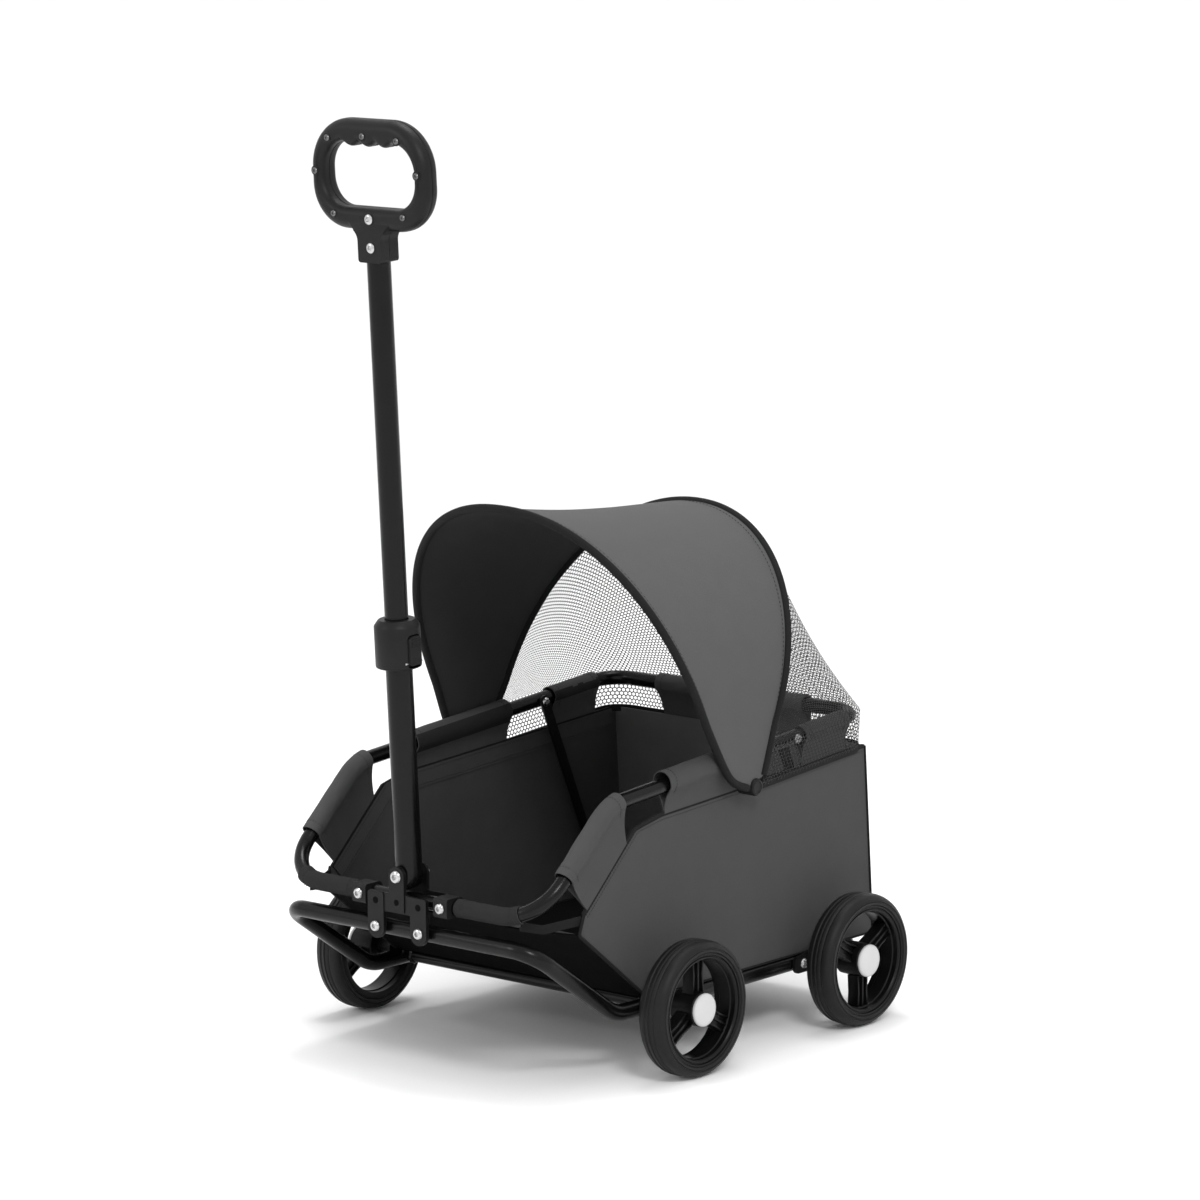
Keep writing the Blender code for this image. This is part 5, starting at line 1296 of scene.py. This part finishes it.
def build_sleeve(name, path, tail, up, node, seed, radius=0.0095, lift=0.0, finish="body_cloth", painted_cabin_shade=False):
    """One sleeve round the rim, its hidden lower ends running together down to the panel.

    A sleeve built with the cabin-side flag has that side in the darker cloth, as painted shade from the
    canopy above."""
    path = spaced([Vector(p) for p in path], 0.004)
    frames = frames_along(path, up)
    tails = [tail(p, v) if callable(tail) else tail for p, (_, v) in zip(path, frames)]
    sections = [sleeve_section(t, radius, lift) for t in tails]
    section = sections[len(sections) // 2]

    def swell(t):
        hem = 0.018 * (math.exp(-(t / 0.06) ** 2) + math.exp(-((1 - t) / 0.06) ** 2))
        return 1.0 + hem + 0.018 * noise.noise(Vector((t * 6.0, seed, 0.3)))
    bm = new()
    layer = cloth_layer(bm)
    rows = []
    tall = len(section)
    around = [0.0]
    for a, b in zip(section, section[1:]):
        around.append(around[-1] + math.dist(a, b))
    far = 0.0
    for i, (point, (side, vertical)) in enumerate(zip(path, frames)):
        t = i / (len(path) - 1)
        row = []
        for k, (u, v) in enumerate(sections[i]):
            upper = max(0.0, min(1.0, (v + tails[i] * 0.6) / (tails[i] * 0.6)))
            grow = 1 + (swell(t) - 1) * upper
            wrinkle = 0.0006 * upper * noise.noise(Vector((t * 9.0, k * 0.35, seed + 4)))
            row.append(bm.verts.new(point + side * (u * grow + (wrinkle if u > 0 else -wrinkle))
                                    + vertical * (v * (grow if v > 0 else 1.0))))
        rows.append(row)
    for r, (first, second) in enumerate(zip(rows, rows[1:])):
        step = (path[r + 1] - path[r]).length
        for i in range(tall - 1):
            face = bm.faces.new((first[i], first[i + 1], second[i + 1], second[i]))
            middle = face.calc_center_median()
            # Faces on the cabin side get the darker cloth: painted shade.
            if painted_cabin_shade and (path[r] - middle).dot(Vector((path[r].x, path[r].y * 0.5, 0))) > 0.0012:
                face.material_index = 2
            corners = ((around[i], far), (around[i + 1], far), (around[i + 1], far + step),
                       (around[i], far + step))
            for loop, corner in zip(face.loops, corners):
                loop[layer].uv = corner
        far += step
    made = piece(name, bm, [finish, "inner_cloth", "dark_cloth_and_painted_shade", "inner_cloth"], "frame",
                 [node], thickness=0.0011, inner=True)
    bm = new()
    for end in (2, len(path) - 3):
        side, vertical = frames[end]
        middle = path[end] + vertical * lift
        line = [middle + side * u * 1.03 + vertical * (v - lift) * 1.03 for u, v in sections[end][4:-4]]
        stitches(bm, line, lambda p, middle=middle: p - middle, 0.0030, 0.0021)
    piece(name + "_stitching", bm, "stitching", "frame")


def build_sleeves():
    slope = bent([(RIM_X, RIM_FRONT, RIM_FRONT_Z), (RIM_X, *SLOPE_TOP),
                  (RIM_X, RIM_SPLIT, rim_height(RIM_SPLIT))], [SLOPE_BEND])
    front = bent([(0, RIM_FRONT, RIM_FRONT_Z), (RIM_X, RIM_FRONT, RIM_FRONT_Z), (RIM_X, *SLOPE_TOP)],
                 [FRONT_CORNER])

    def to_edge(point, vertical):
        return drop_to_panel(point, vertical) + 0.0012

    def under_bar(point, _):
        return max(0.0106, 0.0142 - 1.2 * (point.y - RIM_FRONT))

    for side, sign in SIDES:
        flip = Vector((sign, 1, 1))
        run = [p * flip for p in stretch(slope, *SLOPE_SLEEVE)]
        build_sleeve(f"slope_wrap_{side}", run, to_edge, (0, -1, 1), f"slope_sleeve_{side}", 1.0 * sign,
                     0.0098, 0.0006)
        run = [Vector((sign * RIM_X, y, rim_height(y))) for y in SIDE_SLEEVE]
        build_sleeve(f"side_wrap_{side}", run, to_edge, (0, 0, 1), f"side_sleeve_{side}", 2.0 * sign, 0.0114,
                     0.0028 if sign > 0 else 0.0012, painted_cabin_shade=True)
        ends = (CORNER_SLEEVE_FRONT, RIM_REAR - REAR_CORNER)
        run = [Vector((sign * RIM_X, y, rim_height(y))) for y in ends]
        build_sleeve(f"corner_wrap_{side}", run, to_edge, (0, 0, 1), f"corner_sleeve_{side}", 3.0 * sign,
                     painted_cabin_shade=True)
        run = stretch(front, CLAMP_X + 0.0120, RIM_X - FRONT_CORNER + 0.022)
        build_sleeve(f"front_wrap_{side}", [p * flip for p in run], under_bar, (0, -1.1, 1),
                     f"front_sleeve_{side}", 4.0 * sign, 0.0086, finish="dark_cloth_and_painted_shade")
    run = [Vector((x, RIM_REAR, RIM_REAR_Z)) for x in (-REAR_SLEEVE_HALF, REAR_SLEEVE_HALF)]
    build_sleeve("rear_wrap", run, 0.0326, (0, -0.2, 1), "rear_sleeve", 6.0, painted_cabin_shade=True)


# ---- Canopy ----------------------------------------------------------------------------------------------
def build_canopy():
    front, rear = front_bow_line(), rear_bow_line()
    count, steps = 129, 20
    front_even, rear_even = evenly(front, count), evenly(rear, count)
    rows = []
    for r in range(steps + 1):
        share = r / steps
        row = []
        for c, (a, b) in enumerate(zip(front_even, rear_even)):
            around = c / (count - 1)
            p = a.lerp(b, share)
            belly = math.sin(math.pi * share) * math.sin(math.pi * around)
            inward = (Vector((0, (FRONT_BOW["foot"][0] + REAR_BOW["foot"][0]) / 2, 0.34)) - p).normalized()
            ripple = 0.0016 * noise.noise(Vector((around * 7, share * 1.6, 2.0))) * belly
            row.append(p + inward * (0.0058 * belly + ripple))
        rows.append(row)
    bm = new()
    surface(bm, rows)
    canopy = piece("canopy_cloth_sheet", bm, ["canopy_lining", "canopy_cloth"], None,
                   ["canopy_fabric"], thickness=0.0010, inner=True, offset=0.0)
    mid = count // 2
    PLACE @ rear_even[mid].lerp(front_even[mid], 0.08)
    PLACE @ rear_even[mid].lerp(front_even[mid], 0.94)
    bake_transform(canopy)
    bm = new()
    ends = evenly(front_even, 200), evenly(rear_even, 200)
    for share in (0.035, 0.955):
        line = [a.lerp(b, share) for a, b in zip(*ends)][3:-3]
        for half in (line[:100], line[99:]):
            raised = [p + Vector((0, 0, 0.0010)) + Vector((p.x, 0, 0)).normalized() * 0.0009 for p in half]
            stitches(bm, raised, lambda p: p - Vector((0, 0, 0.30)), 0.0046, 0.0034)
    seam = piece("canopy_stitching", bm, "stitching", None)
    PLACE @ rear_even[mid].lerp(front_even[mid], 0.08)
    PLACE @ rear_even[mid].lerp(front_even[mid], 0.94)
    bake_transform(seam)
    return rows, canopy


def build_hood():
    """Netting from the rear bow, over the outside of the rim, down to the top edge of the body cloth."""
    out = 0.0118
    wide, back, radius = RIM_X + out, RIM_REAR + out, REAR_CORNER + out
    hem_wide, hem_back = PANEL_X + 0.0026, BODY_REAR - REAR_LEAN + 0.0026
    half = bent([(0, back, RIM_REAR_Z), (wide, back, RIM_REAR_Z), (wide, HOOD_FRONT, rim_height(HOOD_FRONT))],
                [radius])
    count = 121
    over = evenly(mirrored(half), count)
    hem_half = bent([(0, hem_back, 0), (hem_wide, hem_back, 0), (hem_wide, HOOD_FRONT, 0)],
                    [REAR_CORNER * 0.9])
    hem = evenly(mirrored(hem_half), count)
    for line, drop in ((over, 0.0), (hem, HEM_DROP)):
        for p in line:
            p.z = rim_height(min(p.y, RIM_REAR)) - drop
    behind = Vector((0, math.cos(REAR_BOW["tilt"]), math.sin(REAR_BOW["tilt"]))) * 0.0020
    bow = rear_bow_line()
    top = [p + behind for p in evenly(evenly(bow, 241)[6:-6], count)]
    rows, steps = [], 22
    for r in range(steps + 1):
        share = r / steps
        row = []
        for c, (a, b) in enumerate(zip(top, over)):
            p = a.lerp(b + Vector((0, 0, RIM_RADIUS * 0.6)), share)
            around = c / (count - 1)
            sag = math.sin(math.pi * share) * math.sin(math.pi * around) ** 0.5
            row.append(p + Vector((0, -0.6, -0.8)) * 0.0050 * sag)
        rows.append(row)
    for k in range(1, 7):
        rows.append([a.lerp(b, k / 6) for a, b in zip(over, hem)])
    bm = new()
    surface(bm, rows)
    hood = piece("hood_netting", bm, "netting", "frame", ["mesh_hood"], 80)
    bm = new()
    tape = [p + Vector((0, 0, 0.0036)) for p in hem]
    sweep(bm, tape, flat_tape(0.0006, 0.0036), up=(0, 0, 1))
    for end in (0, -1):
        edge = [row[end] for row in rows[steps:]]
        sweep(bm, edge, flat_tape(0.0004, 0.001), up=(0, 1, 0.1))
    band = piece("hood_hem_tape", bm, "bow_binding", "frame")
    return hood, band, rows


def build_bindings():
    """The tape that is folded over each bow along the canopy's edges."""
    oval = [(0.0042 * math.cos(a), 0.0037 * math.sin(a)) for a in (2 * math.pi * i / 16 for i in range(16))]
    for name, line, bow, body, node in (
            ("front_bow_binding", front_bow_line(), FRONT_BOW, "canopy_front", "front_bow"),
            ("rear_bow_binding", rear_bow_line(), REAR_BOW, "frame", "rear_bow")):
        bm = new()
        path = spaced(line, 0.0045)
        across = Vector((0, math.cos(bow["tilt"]), math.sin(bow["tilt"])))
        sweep(bm, path, oval, up=across)
        piece(name, bm, "bow_binding", body, [node])
    for side, sign in SIDES:
        bm = new()
        r = 0.0085
        lathe(bm, [(0, 0.1611), (r, 0.1611), (r, 0.1776), (r - 0.0008, 0.1794), (r - 0.0026, 0.1801),
                   (r - 0.0034, 0.1793), (0, 0.1790)], 40, facing((0, *BUTTON), (sign, 0, 0)))
        piece(f"canopy_snap_{side}", bm, "black_plastic", "frame", [f"canopy_button_{side}"])


# ---- Settings --------------------------------------------------------------------------------------------
class StrollerSettings(bpy.types.PropertyGroup):
    body_shade: bpy.props.FloatProperty(name="Body cloth", description="How light the body cloth is",
                                        default=0.052)
    canopy_shade: bpy.props.FloatProperty(name="Canopy cloth", description="How light the canopy is",
                                          default=0.078)
    thread: bpy.props.FloatProperty(name="Thread pitch", description="Distance between the cloth's threads",
                                    default=0.0008, subtype="DISTANCE", unit="LENGTH", precision=5)
    net_pitch: bpy.props.FloatProperty(name="Net pitch", description="Distance between the net's holes",
                                       default=0.0042, subtype="DISTANCE", unit="LENGTH", precision=5)
    net_thread: bpy.props.FloatProperty(name="Net thread", description="Width of the net between two holes",
                                        default=0.00115, subtype="DISTANCE", unit="LENGTH", precision=5)
    key_power: bpy.props.FloatProperty(name="Key light", description="Power of the main lamp", default=46.0,
                                       subtype="POWER", unit="POWER")
    surround: bpy.props.FloatProperty(name="Surround", description="Strength of the light from all round",
                                      default=1.0)
    camera_turn: bpy.props.FloatProperty(name="Camera turn", description="How far round the camera stands",
                                         default=math.radians(40.84), subtype="ANGLE", unit="ROTATION")
    camera_drop: bpy.props.FloatProperty(name="Camera drop", description="How far down the camera looks",
                                         default=math.radians(9.81), subtype="ANGLE", unit="ROTATION")


def settings():
    return bpy.context.scene.stroller


# ---- Operators -------------------------------------------------------------------------------------------
class STROLLER_OT_stage(bpy.types.Operator):
    """Floor, lights and camera"""
    bl_idname = "stroller.stage"
    bl_label = "Stage"

    def execute(self, context):
        build_stage(settings())
        return {"FINISHED"}


class STROLLER_OT_finishes(bpy.types.Operator):
    """All materials"""
    bl_idname = "stroller.finishes"
    bl_label = "Finishes"

    def execute(self, context):
        make_finishes(settings())
        return {"FINISHED"}


class STROLLER_OT_undercarriage(bpy.types.Operator):
    """Bumper, rails, cross bars and axle plates"""
    bl_idname = "stroller.undercarriage"
    bl_label = "Undercarriage"

    def execute(self, context):
        build_undercarriage()
        for end, y in (("front", -HALF_WHEELBASE), ("rear", HALF_WHEELBASE)):
            for side, sign in SIDES:
                build_axle(end, side, sign, y)
        return {"FINISHED"}


class STROLLER_OT_wheels(bpy.types.Operator):
    """Four wheels with their tyres and caps"""
    bl_idname = "stroller.wheels"
    bl_label = "Wheels"

    def execute(self, context):
        for end, turns in (("front", (0.0, math.pi)), ("rear", (math.pi, 0.0))):
            for (side, sign), turn in zip(SIDES, turns):
                build_wheel(end, side, sign, turn)
        return {"FINISHED"}


class STROLLER_OT_rim(bpy.types.Operator):
    """Rim tubes and side stays"""
    bl_idname = "stroller.rim"
    bl_label = "Rim"

    def execute(self, context):
        build_rim()
        for side, sign in SIDES:
            build_stay(side, sign)
        return {"FINISHED"}


class STROLLER_OT_bracket(bpy.types.Operator):
    """Bracket, clamps and their bolts"""
    bl_idname = "stroller.bracket"
    bl_label = "Bracket"

    def execute(self, context):
        build_bracket()
        return {"FINISHED"}


class STROLLER_OT_pole(bpy.types.Operator):
    """Telescopic pole, collar, latch and grip"""
    bl_idname = "stroller.pole"
    bl_label = "Pole"

    def execute(self, context):
        build_pole()
        build_grip()
        return {"FINISHED"}


class STROLLER_OT_body(bpy.types.Operator):
    """Cloth panels, mat, trim and the sleeves that hold them to the rim"""
    bl_idname = "stroller.body"
    bl_label = "Fabric body"

    def execute(self, context):
        build_panels()
        build_rest_of_body()
        build_trim()
        build_sleeves()
        return {"FINISHED"}


class STROLLER_OT_canopy(bpy.types.Operator):
    """Canopy, its bindings and buttons, and the mesh hood behind it"""
    bl_idname = "stroller.canopy"
    bl_label = "Canopy"

    def execute(self, context):
        rows, canopy = build_canopy()
        build_bindings()
        hood, band, net = build_hood()
        sheet_size(rows)
        sheet_area(rows)
        sheet_size(net)
        sheet_area(net)
        return {"FINISHED"}


class STROLLER_PT_panel(bpy.types.Panel):
    """Lists the settings and the steps"""
    bl_idname = "STROLLER_PT_panel"
    bl_label = "Pet stroller"
    bl_space_type = "VIEW_3D"
    bl_region_type = "UI"
    bl_category = "Stroller"

    def draw(self, context):
        for name in StrollerSettings.__annotations__:
            self.layout.prop(context.scene.stroller, name)
        for step in STEPS:
            self.layout.operator(step.bl_idname)


STEPS = (STROLLER_OT_finishes, STROLLER_OT_stage, STROLLER_OT_undercarriage, STROLLER_OT_wheels,
         STROLLER_OT_rim, STROLLER_OT_bracket, STROLLER_OT_pole, STROLLER_OT_body, STROLLER_OT_canopy)


def register():
    for made in (StrollerSettings, *STEPS, STROLLER_PT_panel):
        bpy.utils.register_class(made)
    bpy.types.Scene.stroller = bpy.props.PointerProperty(type=StrollerSettings)


def unregister():
    del bpy.types.Scene.stroller
    for made in (STROLLER_PT_panel, *reversed(STEPS), StrollerSettings):
        bpy.utils.unregister_class(made)


def main():
    register()
    for step in STEPS:
        group, name = step.bl_idname.split(".")
        if getattr(getattr(bpy.ops, group), name)() != {"FINISHED"}:
            raise RuntimeError(f"{step.bl_idname} did not finish")


if __name__ == "__main__":
    main()
